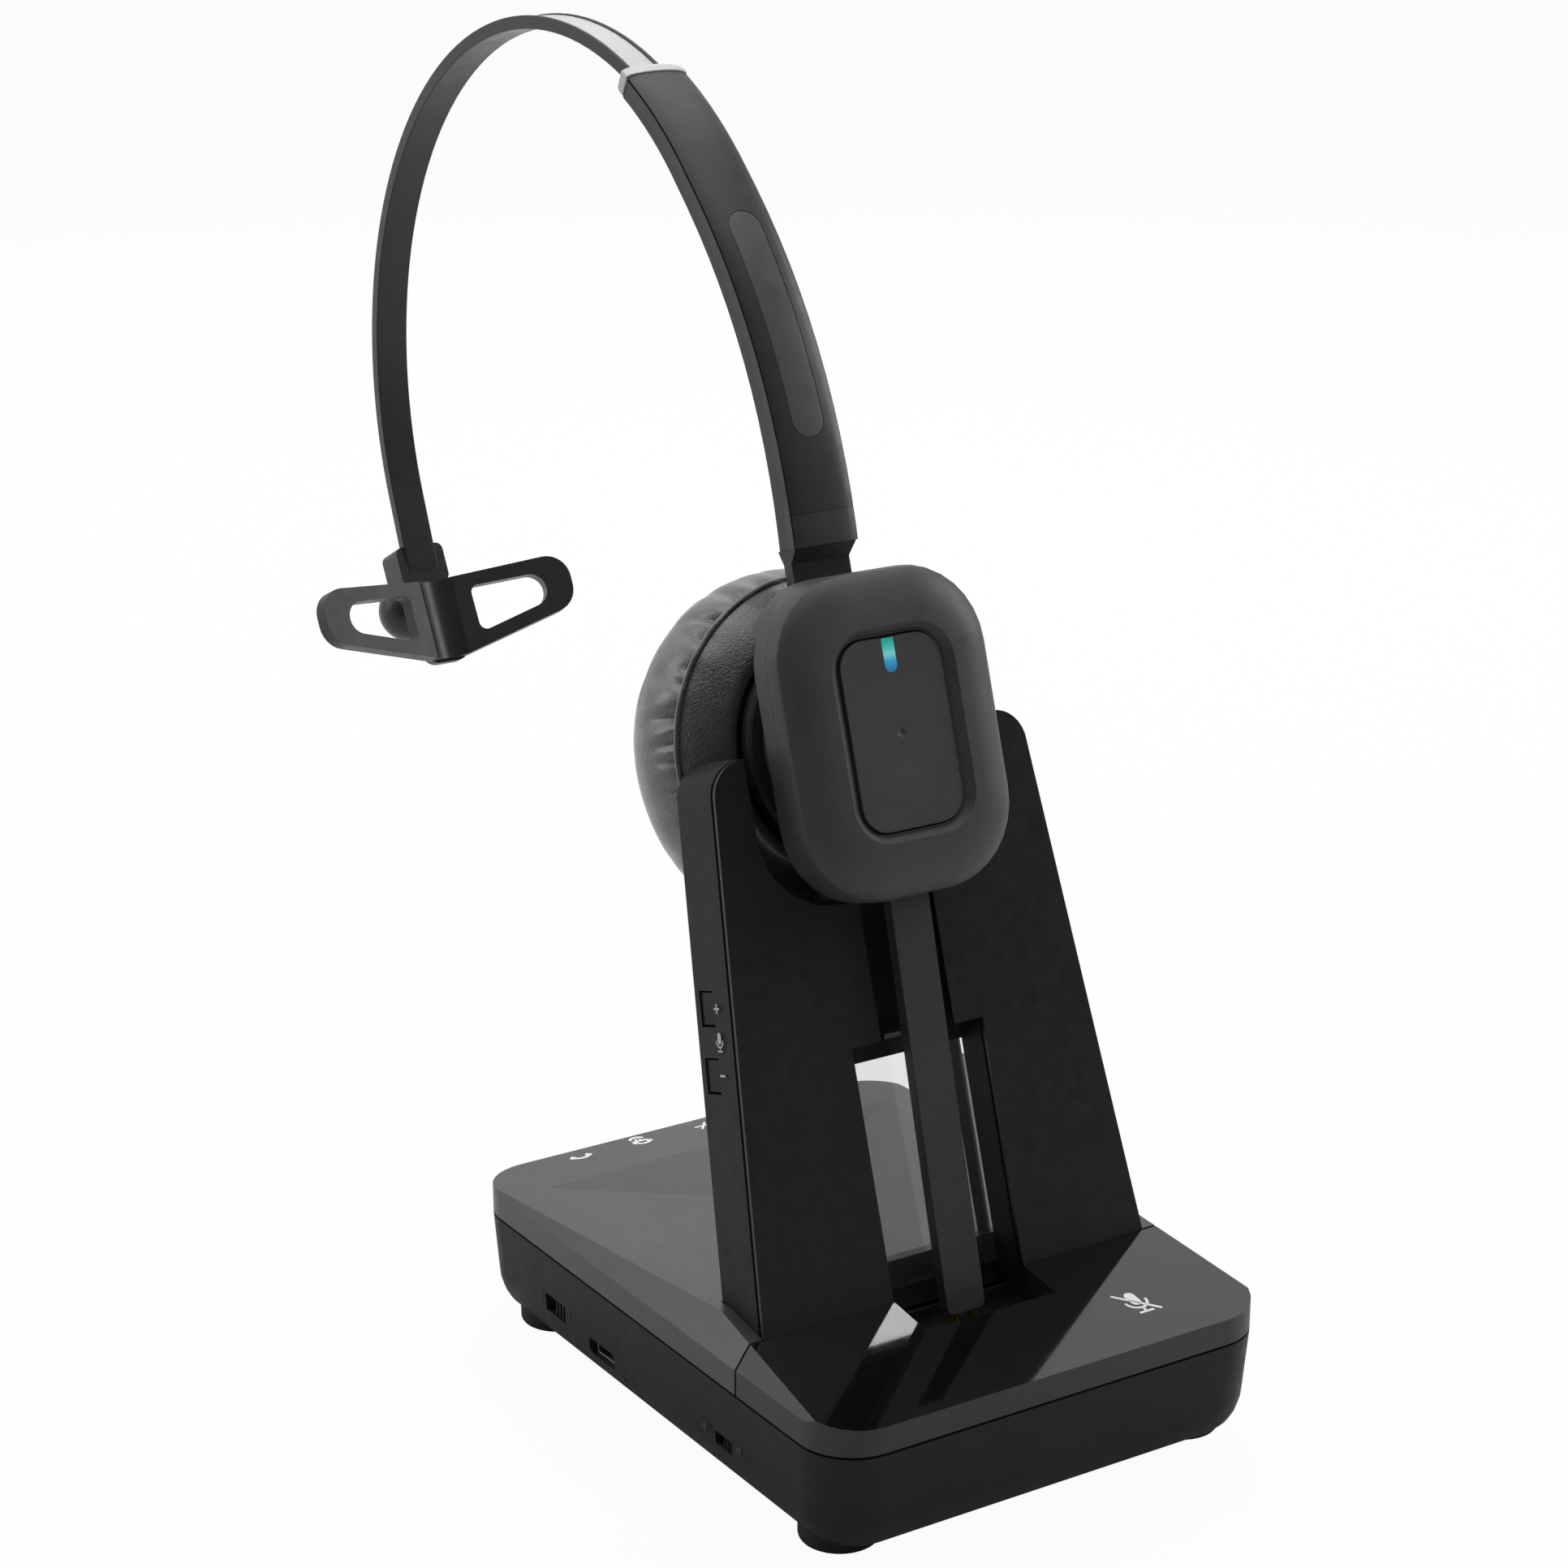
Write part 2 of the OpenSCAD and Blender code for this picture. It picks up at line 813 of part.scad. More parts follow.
module call_button() {
    color("#484848")
    at_ear(house_s) difference() {
        union() {
            translate([0, 0, flange_n]) plate(button_w, button_h, button_r, button_n - flange_n);
            translate([0, 0, flange_n])
                plate(button_w + 1.8, button_h + 1.8, button_r + 0.9, lip_n - flange_n - 0.05);
        }
        translate([0, 0, button_n + dimple_lift]) sphere(r = dimple_r, $fn = fn_round);
        light_slot();
    }
}

module light_slot() {
    translate([0, 0, button_n - 1]) linear_extrude(2) {
        translate([0, 11.3]) circle(r = 1.2, $fn = fn_small);
        translate([-1.2, 11.3]) square([2.4, 4.6]);
    }
}

module light_bar() {
    color("turquoise")
    at_ear(house_s) intersection() {
        light_slot();
        translate([-5, 0, 0]) cube([10, 20, button_n + 0.05]);
    }
}

module earpiece_pcb() {
    color("darkgreen")
    at_ear(house_s) {
        translate([0, 0, 5.2]) plate(30, 42, 6, 1);
        translate([0, 0, 6.2]) cylinder(r = 2.2, h = 0.7, $fn = fn_small);
    }
}

module battery() {
    color("lightslategray")
    at_ear() translate([-11, -9, -4.4]) cube([22, 18, 4]);
}

module boom_arm() {
    color("#343434")
    difference() {
        boom_bar(0);
        on_tower() {
            box_at(-1.6, 1.6, -1.5, 1.5, -2, boom_n(0) - 0.7);
            box_at(-3.1, -0.9, boom_tip_s - 1, boom_tip_s + 1, -3, boom_n(boom_tip_s) - 0.8);
            box_at(0.9, 3.1, boom_tip_s - 1, boom_tip_s + 1, -3, boom_n(boom_tip_s) - 0.8);
        }
    }
}

module boom_contacts() {
    color("goldenrod")
    intersection() {
        boom_bar(0);
        on_tower() {
            box_at(-3.1, -0.9, boom_tip_s - 1, boom_tip_s + 1, -3, boom_n(boom_tip_s) - 0.8);
            box_at(0.9, 3.1, boom_tip_s - 1, boom_tip_s + 1, -3, boom_n(boom_tip_s) - 0.8);
        }
    }
}

module microphone() {
    color("silver")
    intersection() {
        boom_bar(0);
        on_tower() box_at(-1.5, 1.5, -1.4, 1.4, -2, boom_n(0) - 0.8);
    }
}

module cushion_carrier() {
    color("#202020")
    at_ear() difference() {
        translate([0, 0, carrier_n[0]])
            cylinder(r = carrier_r, h = carrier_n[1] - carrier_n[0], $fn = fn_round);
        translate([0, 0, carrier_n[0] - 1]) cylinder(r = 15.2, h = 2, $fn = fn_round);
        translate([0, 0, -20]) cylinder(r = 5, h = 20, $fn = fn_round);
        at_carrier_screws() carrier_screw();
    }
}

module speaker_driver() {
    color("dimgray")
    at_ear() translate([0, 0, -17]) difference() {
        cylinder(r = 15, h = 4, $fn = fn_round);
        translate([0, 0, -1]) cylinder(r = 12, h = 2.2, $fn = fn_round);
    }
}

module ear_grille() {
    color("#1a1a1a")
    at_ear() difference() {
        translate([0, 0, -18]) cylinder(r = 15, h = 1, $fn = fn_round);
        for (a = [0 : 45 : 315])
            rotate([0, 0, a]) translate([8, 0, -19]) cylinder(r = 1.2, h = 3, $fn = fn_small);
    }
}

module carrier_screws() {
    color("silver")
    at_ear() at_carrier_screws() carrier_screw();
}

// A plain ring for the padded ear cushion: front cone, seam, bulge and ear side.
module ear_cushion() {
    section = [
        [carrier_r + 0.75, -10.2], [25.4, -12.9], [29.2, -14.8], [30.7, -18.2], [cushion_r, -23.5],
        [30, -28.6], [27, -31.6], [22.5, -32.2], [18.4, -29.4], [16.2, -25], [15.5, -20],
        [15.5, carrier_n[0] - 0.3], [carrier_r + 0.75, carrier_n[0] - 0.3]
    ];
    color("#262626")
    at_ear(cushion_s) rotate_extrude($fn = 96) polygon(section);
}

// ---------- headband ----------

module neck_yoke() {
    depth = yoke_n[1] - yoke_n[0];
    color("#333333")
    on_tower() difference() {
        union() {
            translate([0, ear_s, yoke_n[0]]) cylinder(r = yoke_r, h = depth - 0.6, $fn = fn_round);
            translate([0, ear_s, yoke_n[1] - 0.6])
                cylinder(r1 = yoke_r, r2 = yoke_r - 0.6, h = 0.6, $fn = fn_round);
            box_at(-neck_half, neck_half, ear_s + 10, neck_s, yoke_n[0], yoke_n[1]);
            hull() {
                box_at(-neck_half, neck_half, neck_s - 0.01, neck_s, yoke_n[0], yoke_n[1]);
                box_at(-6.15, 6.15, sleeve_foot_s - 0.1, sleeve_foot_s, -9.4, -3.8);
            }
            box_at(-4, 4, sleeve_foot_s - 0.5, sleeve_foot_s + 9.5, -7.6, -5.6);
        }
        translate([0, ear_s, -20]) cylinder(r = hub_r + running_fit, h = 40, $fn = fn_round);
    }
}

// Crowned top of the sleeve's cross-section at half width hw: [depth below the crown, x].
function crown(hw, grow) = [
    for (i = [-6 : 6])
        let (t = sin(15 * i))
        [grow - crown_drop * pow(t, 2) - crown_edge * pow(t, 8), t * (hw + grow)]
];

// Cross-sections of shell, liner and collar at half width hw and total depth deep.
function shell_section(hw, deep) = concat(crown(hw, 0), [
    [-sleeve_line[0], hw - line_deep],
    [-sleeve_line[1], hw - line_deep],
    [-sleeve_line[1], hw],
    [-sleeve_split, hw],
    [-sleeve_split, -hw],
    [-sleeve_line[1], -hw],
    [-sleeve_line[1], line_deep - hw],
    [-sleeve_line[0], line_deep - hw]
]);

function liner_section(hw, deep) = [
    [-sleeve_split, -hw],
    [-sleeve_split, hw],
    [sleeve_edge - deep, hw],
    [-deep, hw - sleeve_edge],
    [-deep, sleeve_edge - hw],
    [sleeve_edge - deep, -hw]
];

function collar_section(hw, deep, over) = concat(crown(hw, over), [
    [-collar_side, hw + over],
    [sleeve_edge + collar_lift - deep, hw + over],
    [collar_lift - deep - over, hw - sleeve_edge],
    [collar_lift - deep - over, sleeve_edge - hw],
    [sleeve_edge + collar_lift - deep, -hw - over],
    [-collar_side, -hw - over]
]);

// How far along the sleeve path angle a lies: 0 at the collar, 1 at the neck.
function sleeve_way(a) = (a - collar_a[0]) / (sleeve_end_a - collar_a[0]);

// The collar's growth over the sleeve at angle a: drawn in at its mouth.
function collar_over(a) = collar_grow - mouth_in * pow(max(0, mouth_a - a) / (mouth_a - collar_a[0]), 2);

// A point of the sleeve at path angle a, height d over the crown line, and x.
function sleeve_point(a, d, x) =
    a < join_a
        ? [x, band_y + (sleeve_r + d) * cos(a), band_z + (sleeve_r + d) * sin(a)]
        : let (r = sleeve_low_r + d
                + sleeve_bulge * sin(180 * (a - join_a) / (sleeve_end_a - join_a)))
            [x, low_y + r * cos(a), low_z + r * sin(a)];

// Half width and total depth of the sleeve: slim at the collar, full at the neck.
function sleeve_half(a) = 5.9 + 0.4 * sleeve_way(a);
function sleeve_depth(a) = sleeve_top + sleeve_foot_extra * pow(sleeve_way(a), 2);

// Rings along the sleeve's path from a cross-section given for each half width.
module sleeve_run(from, to, steps, section) {
    skin([
        for (k = [0 : steps])
            let (a = from + (to - from) * k / steps)
            [for (p = section(sleeve_half(a), sleeve_depth(a), a)) sleeve_point(a, p[0], p[1])]
    ]);
}

module band_channel() {
    in_band_plane() arc_bar(band_r - band_t - slide_fit, band_r + slide_fit,
        band_w + 2 * slide_fit, collar_a[0] - 3, band_end_a + 1);
}

module neck_socket() {
    on_tower() {
        box_at(-4, 4, sleeve_foot_s - 3, sleeve_foot_s + 9.5, -7.6, -5.6);
        box_at(-20, 20, sleeve_foot_s - 10, sleeve_foot_s, -20, 5);
    }
}

// Cross-section of the label's inlay under the crown, or of its pocket when grown.
function label_section(hw, grow) = concat(
    [
        for (i = [-3 : 3])
            let (x = i / 3 * (label_w / 2 + grow))
            [(grow > 0 ? 1 : -label_sunk) - crown_drop * pow(x / hw, 2), x]
    ],
    [
        [-crown_drop / 2 - label_t - grow, label_w / 2 + grow],
        [-crown_drop / 2 - label_t - grow, -label_w / 2 - grow]
    ]
);

module label_pill(grow) {
    mid = (label_a[0] + label_a[1]) / 2;
    run = sleeve_low_r * (label_a[1] - label_a[0]) * PI / 180;
    intersection() {
        sleeve_run(label_a[0] - 1, label_a[1] + 1, 12, function(hw, deep, a) label_section(hw, grow));
        translate([0, low_y, low_z]) rotate([90, 0, 90]) rotate([0, 0, mid])
            translate([sleeve_low_r - 8, 0, 0]) rotate([0, 90, 0])
                plate(label_w + 2 * grow, run + 2 * grow, label_w / 2 + grow - 0.01, 16);
    }
}

module sleeve_shell() {
    color("#3d3d3d")
    difference() {
        sleeve_run(collar_a[1], sleeve_end_a, 22, function(hw, deep, a) shell_section(hw, deep));
        band_channel();
        neck_socket();
        label_pill(label_gap);
    }
}

module sleeve_liner() {
    color("#5c5c5c")
    difference() {
        sleeve_run(collar_a[1], sleeve_end_a, 22, function(hw, deep, a) liner_section(hw, deep));
        band_channel();
        neck_socket();
    }
}

module sleeve_collar() {
    color("#e4e4e4")
    difference() {
        sleeve_run(collar_a[0], collar_a[1], 6,
            function(hw, deep, a) collar_section(hw, deep, collar_over(a)));
        band_channel();
    }
}

module label_inlay() {
    color("#2c2c2c") label_pill(0);
}

// Straight end of the slide band, in the band's drawing plane.
module band_tail(r_in, r_out, w, from, to) {
    rotate([0, 0, tail_a]) translate([r_in, -to, -w / 2]) cube([r_out - r_in, to - from, w]);
}

module slide_band() {
    color("#505050")
    in_band_plane() difference() {
        union() {
            arc_bar(band_r - band_t, band_r, band_w, tail_a, band_end_a);
            band_tail(band_r - band_t, band_r, band_w, 0, tail_len);
        }
        arc_bar(band_r - strip_sunk - strip_t, band_r + 1, strip_w, strip_a[0], strip_a[1]);
    }
}

module band_strip() {
    color("#e8e8e8")
    in_band_plane()
        arc_bar(band_r - strip_sunk - strip_t, band_r - strip_sunk, strip_w, strip_a[0], strip_a[1]);
}

// ---------- head pad ----------

// Clip on the band's end: an open channel, with the cup of a ball joint behind it.
module pad_clip() {
    color("#3c3c3c")
    difference() {
        on_pad() difference() {
            union() {
                translate([0, (clip_u[0] + clip_u[1]) / 2, clip_w[0]])
                    plate(2 * clip_half, clip_u[1] - clip_u[0], clip_corner, clip_w[1] - clip_w[0]);
                box_at(-3.4, 3.4, clip_u[0] - 0.6, clip_u[0] + 2.9, ball_w, clip_w[0] + 2.3);
                translate([0, ball_u, ball_w]) sphere(r = cup_ball_r, $fn = fn_round);
            }
            translate([0, ball_u, ball_w]) {
                sphere(r = ball_r + ball_fit, $fn = fn_round);
                cylinder(r = stud_room_r, h = 20, $fn = fn_small);
            }
        }
        in_band_plane() band_tail(band_r - band_t, band_r, band_w, -30, tail_len);
    }
}

// Ball with a neck, pressed into the back of the head pad.
module ball_stud() {
    color("silver")
    on_pad() translate([0, ball_u, ball_w]) {
        sphere(r = ball_r, $fn = fn_round);
        cylinder(r = stud_r, h = -ball_w - 2.6, $fn = fn_small);
    }
}

// One wing of the head pad: a rounded frame around an opening.
module wing() {
    translate([pad_root, 0, 0]) rotate([0, -wing_v, 0]) translate([0, 0, -pad_t])
        linear_extrude(pad_t) difference() {
            hull() {
                polygon([[0, -8.1], [1, 8.15], [0, 8.15]]);
                translate([20, 3.6]) circle(r = 5, $fn = fn_small);
                translate([20, 1.7]) circle(r = 5, $fn = fn_small);
            }
            hull() {
                translate([15.9, 2.1]) circle(r = 3.4, $fn = fn_small);
                translate([5.1, 3.9]) circle(r = 1.6, $fn = fn_small);
                translate([5.2, -2.3]) circle(r = 1.6, $fn = fn_small);
            }
        }
}

module head_pad() {
    color("#3a3a3a")
    on_pad() difference() {
        union() {
            wing();
            mirror([1, 0, 0]) wing();
            box_at(-pad_root - 0.5, pad_root + 0.5, -8.1, 8.15, -pad_t, -0.1);
            translate([0, (spine_u[0] + spine_u[1]) / 2, spine_w])
                plate(10, spine_u[1] - spine_u[0], 3, -pad_t - spine_w + 0.5);
        }
        translate([0, -20, groove_r - groove_deep]) rotate([-90, 0, 0])
            cylinder(r = groove_r, h = 40, $fn = fn_round);
        translate([0, ball_u, ball_w]) cylinder(r = stud_r, h = -ball_w - 2.6, $fn = fn_small);
        for (x = [-pad_root, pad_root - 0.6])
            box_at(x - line_w / 2, x + line_w / 2, -20, 20, -line_w, 2);
    }
}

// ---------- assembly ----------

base_tray();
rear_cover();
front_panel();
rubber_feet();
tray_screws();
base_pcb();
ballast_plate();
micro_usb_socket();
slide_switches();
ringer_knob();
speaker_knob();
ringer_speaker();
charging_pins();
tower_shell();
tower_face();
window_pane();
mic_up_key();
mic_down_key();
key_board();
housing_back();
housing_front();
call_button();
light_bar();
earpiece_pcb();
battery();
boom_arm();
boom_contacts();
microphone();
cushion_carrier();
speaker_driver();
ear_grille();
carrier_screws();
ear_cushion();
neck_yoke();
sleeve_shell();
sleeve_liner();
sleeve_collar();
label_inlay();
slide_band();
band_strip();
pad_clip();
ball_stud();
head_pad();
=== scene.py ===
"""Wireless mono headset in its charging base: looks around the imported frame."""
import json
import math
import random
import bmesh
import bpy
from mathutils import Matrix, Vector


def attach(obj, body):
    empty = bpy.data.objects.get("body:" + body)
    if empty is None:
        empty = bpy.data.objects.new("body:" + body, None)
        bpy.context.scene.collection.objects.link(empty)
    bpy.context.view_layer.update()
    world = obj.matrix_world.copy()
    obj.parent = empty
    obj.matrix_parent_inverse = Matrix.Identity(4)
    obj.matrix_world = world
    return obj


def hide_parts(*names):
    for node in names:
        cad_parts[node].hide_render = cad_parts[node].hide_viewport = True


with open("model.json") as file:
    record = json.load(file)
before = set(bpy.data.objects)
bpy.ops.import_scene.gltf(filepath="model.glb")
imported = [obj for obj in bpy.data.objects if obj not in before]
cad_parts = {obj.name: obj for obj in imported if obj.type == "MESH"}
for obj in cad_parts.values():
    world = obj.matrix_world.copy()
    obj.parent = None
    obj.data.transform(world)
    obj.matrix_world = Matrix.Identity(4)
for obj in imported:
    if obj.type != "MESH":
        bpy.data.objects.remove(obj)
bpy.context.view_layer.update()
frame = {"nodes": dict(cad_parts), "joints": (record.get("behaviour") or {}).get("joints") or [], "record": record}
MM = 0.001
NODES = frame["nodes"]
JOINTS = {j["name"]: j for j in frame["joints"]}


# ---------- places on the object, in millimetres ----------

ACROSS = Vector((1, 0, 0))
TOWER_UP = Vector(JOINTS["headset_lift"]["axis"]).normalized()
TOWER_OUT = Vector(JOINTS["earpiece_swivel"]["axis"]).normalized()

# Heights up the tower's face, from its foot.
EAR_UP = 94.0
LIGHT_BAR_UP = (EAR_UP + 11.3, EAR_UP + 16.2)
SLEEVE_SEAM_UP = 133.2
PLUS_UP, MIC_UP, MINUS_UP = 54.6, 48.6, 43.4
TOWER_HEIGHT = 94.8

# Half the tower's width at its foot, what it loses up to the top, and the marks' depth.
TOWER_FOOT_HALF = 39.4
TOWER_NARROWING = 7.7
KEY_MARK_OUT = -5.2

# A line on the front roof and its rise per millimetre, and the rear rim's edge and its fall.
FRONT_CREST_Y, FRONT_CREST_Z, FRONT_RISE = -30.9, 29.45, 0.1335
REAR_EDGE_Y, REAR_EDGE_Z, REAR_FALL = 60.5, 25.4, 0.0675
REAR_MARKS_Y = 56.6

# The base's left wall at the marks' height, and how far it leans in per millimetre up.
WALL_X, WALL_LEAN = -44.58, 0.045

TOWER_FOOT = Vector(JOINTS["earpiece_swivel"]["pos_m"]) - TOWER_UP * EAR_UP * MM


def tower(x, up, out):
    """A point from the tower's own millimetres: across, up the face, out of it."""
    return TOWER_FOOT + (ACROSS * x + TOWER_UP * up + TOWER_OUT * out) * MM


def tower_side(up, out):
    """A point on the tower's left side wall."""
    half = TOWER_FOOT_HALF - TOWER_NARROWING * up / TOWER_HEIGHT
    return tower(-half, up, out)


# ---------- materials ----------

def srgb(v):
    """A grey or an (r, g, b) in 0..255 as linear colour."""
    rgb = (v, v, v) if isinstance(v, (int, float)) else v
    lin = [((c / 255 + 0.055) / 1.055) ** 2.4 if c > 10 else c / 255 / 12.92 for c in rgb]
    return (*lin, 1.0)


class Graph:
    """A node tree whose nodes are added one by one."""

    def __init__(self, tree):
        self.tree = tree

    def add(self, kind, **values):
        node = self.tree.nodes.new(kind)
        for key, value in values.items():
            if hasattr(node, key):
                setattr(node, key, value)
            else:
                node.inputs[key.replace("_", " ")].default_value = value
        return node

    def link(self, a, b):
        self.tree.links.new(a, b)

    def to_range(self, value, lo, hi, from_lo=0.0, from_hi=1.0):
        node = self.add("ShaderNodeMapRange")
        for key, number in (("From Min", from_lo), ("From Max", from_hi),
                            ("To Min", lo), ("To Max", hi)):
            node.inputs[key].default_value = number
        self.link(value, node.inputs["Value"])
        return node.outputs["Result"]

    def math(self, operation, a, b=0.0):
        node = self.add("ShaderNodeMath", operation=operation)
        for socket, value in zip(node.inputs, (a, b)):
            if isinstance(value, (int, float)):
                socket.default_value = value
            else:
                self.link(value, socket)
        return node.outputs[0]

    def dot(self, vector, direction):
        """How far a vector runs along a fixed direction."""
        node = self.add("ShaderNodeVectorMath", operation="DOT_PRODUCT")
        node.inputs[1].default_value = direction
        self.link(vector, node.inputs[0])
        return node.outputs["Value"]

    def axes(self, vector):
        node = self.add("ShaderNodeSeparateXYZ")
        self.link(vector, node.inputs[0])
        return node.outputs

    def seen(self, path):
        """1 on the rays that the camera sends, straight or through glass."""
        return self.math("MAXIMUM", path["Is Camera Ray"], path["Is Transmission Ray"])

    def blend_shaders(self, fac, first, second, target):
        node = self.add("ShaderNodeMixShader")
        for socket, source in zip(node.inputs, (fac, first, second)):
            self.link(source, socket)
        self.link(node.outputs[0], target.inputs[0])


class Shader(Graph):
    """A Principled material, new or built onto one that another function made."""

    def __init__(self, name, onto=None):
        self.mat = onto or bpy.data.materials.new(name)
        self.mat.use_nodes = True
        super().__init__(self.mat.node_tree)
        self.bsdf = self.tree.nodes["Principled BSDF"]
        self.coords = self.add("ShaderNodeTexCoord").outputs["Object"]

    def set(self, **values):
        for key, value in values.items():
            self.bsdf.inputs[key.replace("_", " ")].default_value = value

    def wire(self, **sockets):
        for key, value in sockets.items():
            self.link(value, self.bsdf.inputs[key.replace("_", " ")])

    def noise(self, scale, detail=3.0, rough=0.55, vector=None):
        node = self.add("ShaderNodeTexNoise", Scale=scale, Detail=detail, Roughness=rough)
        self.link(vector or self.coords, node.inputs["Vector"])
        return node.outputs["Fac"]

    def ramp(self, fac, stops):
        node = self.add("ShaderNodeValToRGB")
        items = node.color_ramp.elements
        while len(items) < len(stops):
            items.new(0.5)
        for item, (place, colour) in zip(items, stops):
            item.position = place
            item.color = colour
        self.link(fac, node.inputs["Fac"])
        return node.outputs["Color"]

    def mix(self, fac, a, b, blend="MIX"):
        """Mixes two colours; sockets 6 and 7 and output 2 are the node's colour ones."""
        node = self.add("ShaderNodeMix", data_type="RGBA", blend_type=blend)
        for socket, value in ((node.inputs["Factor"], fac), (node.inputs[6], a),
                              (node.inputs[7], b)):
            if isinstance(value, (int, float, tuple)):
                socket.default_value = value
            else:
                self.link(value, socket)
        return node.outputs[2]

    def bump(self, height, distance):
        node = self.add("ShaderNodeBump", Distance=distance, Strength=1.0)
        self.link(height, node.inputs["Height"])
        return node.outputs["Normal"]


WHITE, BLACK = (1, 1, 1, 1), (0, 0, 0, 1)
MOTTLE = 0.07


def scaled(colour, share):
    """A linear colour made darker or lighter."""
    return (*(min(1.0, c * share) for c in colour[:3]), 1.0)


def moulded(name, grey, rough, grain=0.012, scale=2600, rough_swing=0.05, specular=0.5):
    """Moulded plastic: spark-eroded grain, a little uneven in tone and gloss."""
    m = Shader(name)
    base = srgb(grey)
    broad = m.noise(55, 4)
    fine = m.noise(scale, 2)
    tone = m.ramp(broad, [(0.35, scaled(base, 1 - MOTTLE)), (0.65, scaled(base, 1 + MOTTLE))])
    speck = m.ramp(fine, [(0.3, (0.86, 0.86, 0.86, 1)), (0.7, WHITE)])
    m.wire(Base_Color=m.mix(1.0, tone, speck, "MULTIPLY"),
           Roughness=m.to_range(m.noise(380, 3), rough - rough_swing, rough + rough_swing,
                                0.3, 0.7),
           Normal=m.bump(fine, grain * MM))
    m.set(Specular_IOR_Level=specular)
    return m.mat


def gloss_black():
    """Piano-black lacquer on the top plane with faint orange peel; satin on the walls."""
    m = Shader("gloss_plastic")
    peel = m.noise(90, 2)
    hair = m.noise(900, 6, 0.7)
    facing = m.dot(m.add("ShaderNodeNewGeometry").outputs["Normal"],
                   Vector((0, -FRONT_RISE, 1)).normalized())
    top = m.to_range(facing, 0.0, 1.0, 0.985, 0.996)
    lacquer = m.ramp(m.noise(40), [(0.3, srgb(12)), (0.7, srgb(17))])
    satin = m.ramp(m.noise(2600, 2), [(0.3, srgb(38)), (0.7, srgb(46))])
    m.wire(Base_Color=m.mix(top, satin, lacquer),
           Roughness=m.mix(top, m.to_range(hair, 0.4, 0.46, 0.3, 0.7),
                           m.to_range(hair, 0.035, 0.09, 0.35, 0.7)),
           Coat_Weight=m.math("MULTIPLY", top, 0.4),
           Normal=m.bump(peel, 0.004 * MM))
    m.set(Specular_IOR_Level=0.5, Coat_Roughness=0.03)
    return m.mat


def leatherette(name, pebble, specular):
    """Protein leather: fine pebbled grain with soft highlights, duller between the pebbles, where painted shade
    also darkens the colour.
    """
    m = Shader(name)
    warp = m.noise(300, 3)
    cells = m.add("ShaderNodeTexVoronoi", feature="SMOOTH_F1", Scale=2300, Smoothness=0.6)
    m.link(m.coords, cells.inputs["Vector"])
    grain = m.math("SUBTRACT", 1.0, cells.outputs["Distance"])
    pore = m.noise(5200, 2)
    height = m.math("ADD", grain, m.math("MULTIPLY", pore, 0.4))
    tone = m.ramp(warp, [(0.3, srgb(52)), (0.7, srgb(64))])
    # painted shade: the colour is darkened in the hollows between the pebbles
    shade = m.ramp(grain, [(0.2, (0.72, 0.72, 0.72, 1)), (0.7, WHITE)])
    m.wire(Base_Color=m.mix(1.0, tone, shade, "MULTIPLY"),
           Roughness=m.to_range(grain, 0.5, 0.34, 0.2, 0.8),
           Normal=m.bump(height, pebble * MM))
    m.set(Specular_IOR_Level=specular, Sheen_Weight=0.1, Sheen_Roughness=0.4,
          Coat_Weight=1.0, Coat_Roughness=0.26)
    return m.mat


def silver():
    """Satin silver lacquer on the band's strip and the sleeve's collar."""
    m = Shader("silver_trim")
    flake = m.noise(5200, 1)
    m.wire(Base_Color=m.ramp(flake, [(0.3, srgb(180)), (0.7, srgb(206))]),
           Roughness=m.to_range(m.noise(300), 0.28, 0.38, 0.3, 0.7),
           Normal=m.bump(flake, 0.004 * MM))
    m.set(Metallic=0.25, Specular_IOR_Level=0.5)
    return m.mat


def clear_window():
    """Clear pane with a faint smoky tint and fine marks."""
    m = Shader("window_clear")
    m.wire(Base_Color=m.ramp(m.noise(60), [(0.3, srgb(226)), (0.7, srgb(236))]),
           Roughness=m.to_range(m.noise(700, 5), 0.0, 0.03, 0.4, 0.8))
    m.set(Transmission_Weight=1.0, IOR=1.46)
    return m.mat


def light_guide():
    """Lit bar: teal at the top, pale in the middle, blue at the bottom."""
    m = Shader("light_guide")
    ends = [tower(0, up, 0).dot(TOWER_UP) for up in LIGHT_BAR_UP]
    place = m.to_range(m.dot(m.coords, TOWER_UP), 0.0, 1.0, *ends)
    shine = m.ramp(place, [(0.0, srgb((40, 112, 170))), (0.3, srgb((56, 150, 190))),
                           (0.52, srgb((120, 196, 196))), (0.75, srgb((66, 184, 168))),
                           (1.0, srgb((38, 158, 146)))])
    m.wire(Base_Color=shine, Emission_Color=shine,
           Roughness=m.to_range(m.noise(500), 0.2, 0.3))
    m.set(Emission_Strength=0.45)
    return m.mat


def metal(name, tone, rough, brushed=False):
    """Plated or brushed metal."""
    m = Shader(name)
    colour = srgb(tone)
    stretched = m.add("ShaderNodeMapping")
    stretched.inputs["Scale"].default_value = (1, 1, 24) if brushed else (1, 1, 1)
    m.link(m.coords, stretched.inputs["Vector"])
    grain = m.noise(900, 4, vector=stretched.outputs[0])
    m.wire(Base_Color=m.ramp(grain, [(0.3, scaled(colour, 0.82)), (0.7, colour)]),
           Roughness=m.to_range(grain, rough - 0.06, rough + 0.08),
           Normal=m.bump(grain, 0.006 * MM))
    m.set(Metallic=1.0)
    return m.mat


def rubber():
    """Matt black rubber with a fine rough skin."""
    m = Shader("foot_rubber")
    fine = m.noise(1800, 4)
    m.wire(Base_Color=m.ramp(m.noise(120), [(0.3, srgb(16)), (0.7, srgb(24))]),
           Roughness=m.to_range(fine, 0.62, 0.78), Normal=m.bump(fine, 0.03 * MM))
    return m.mat


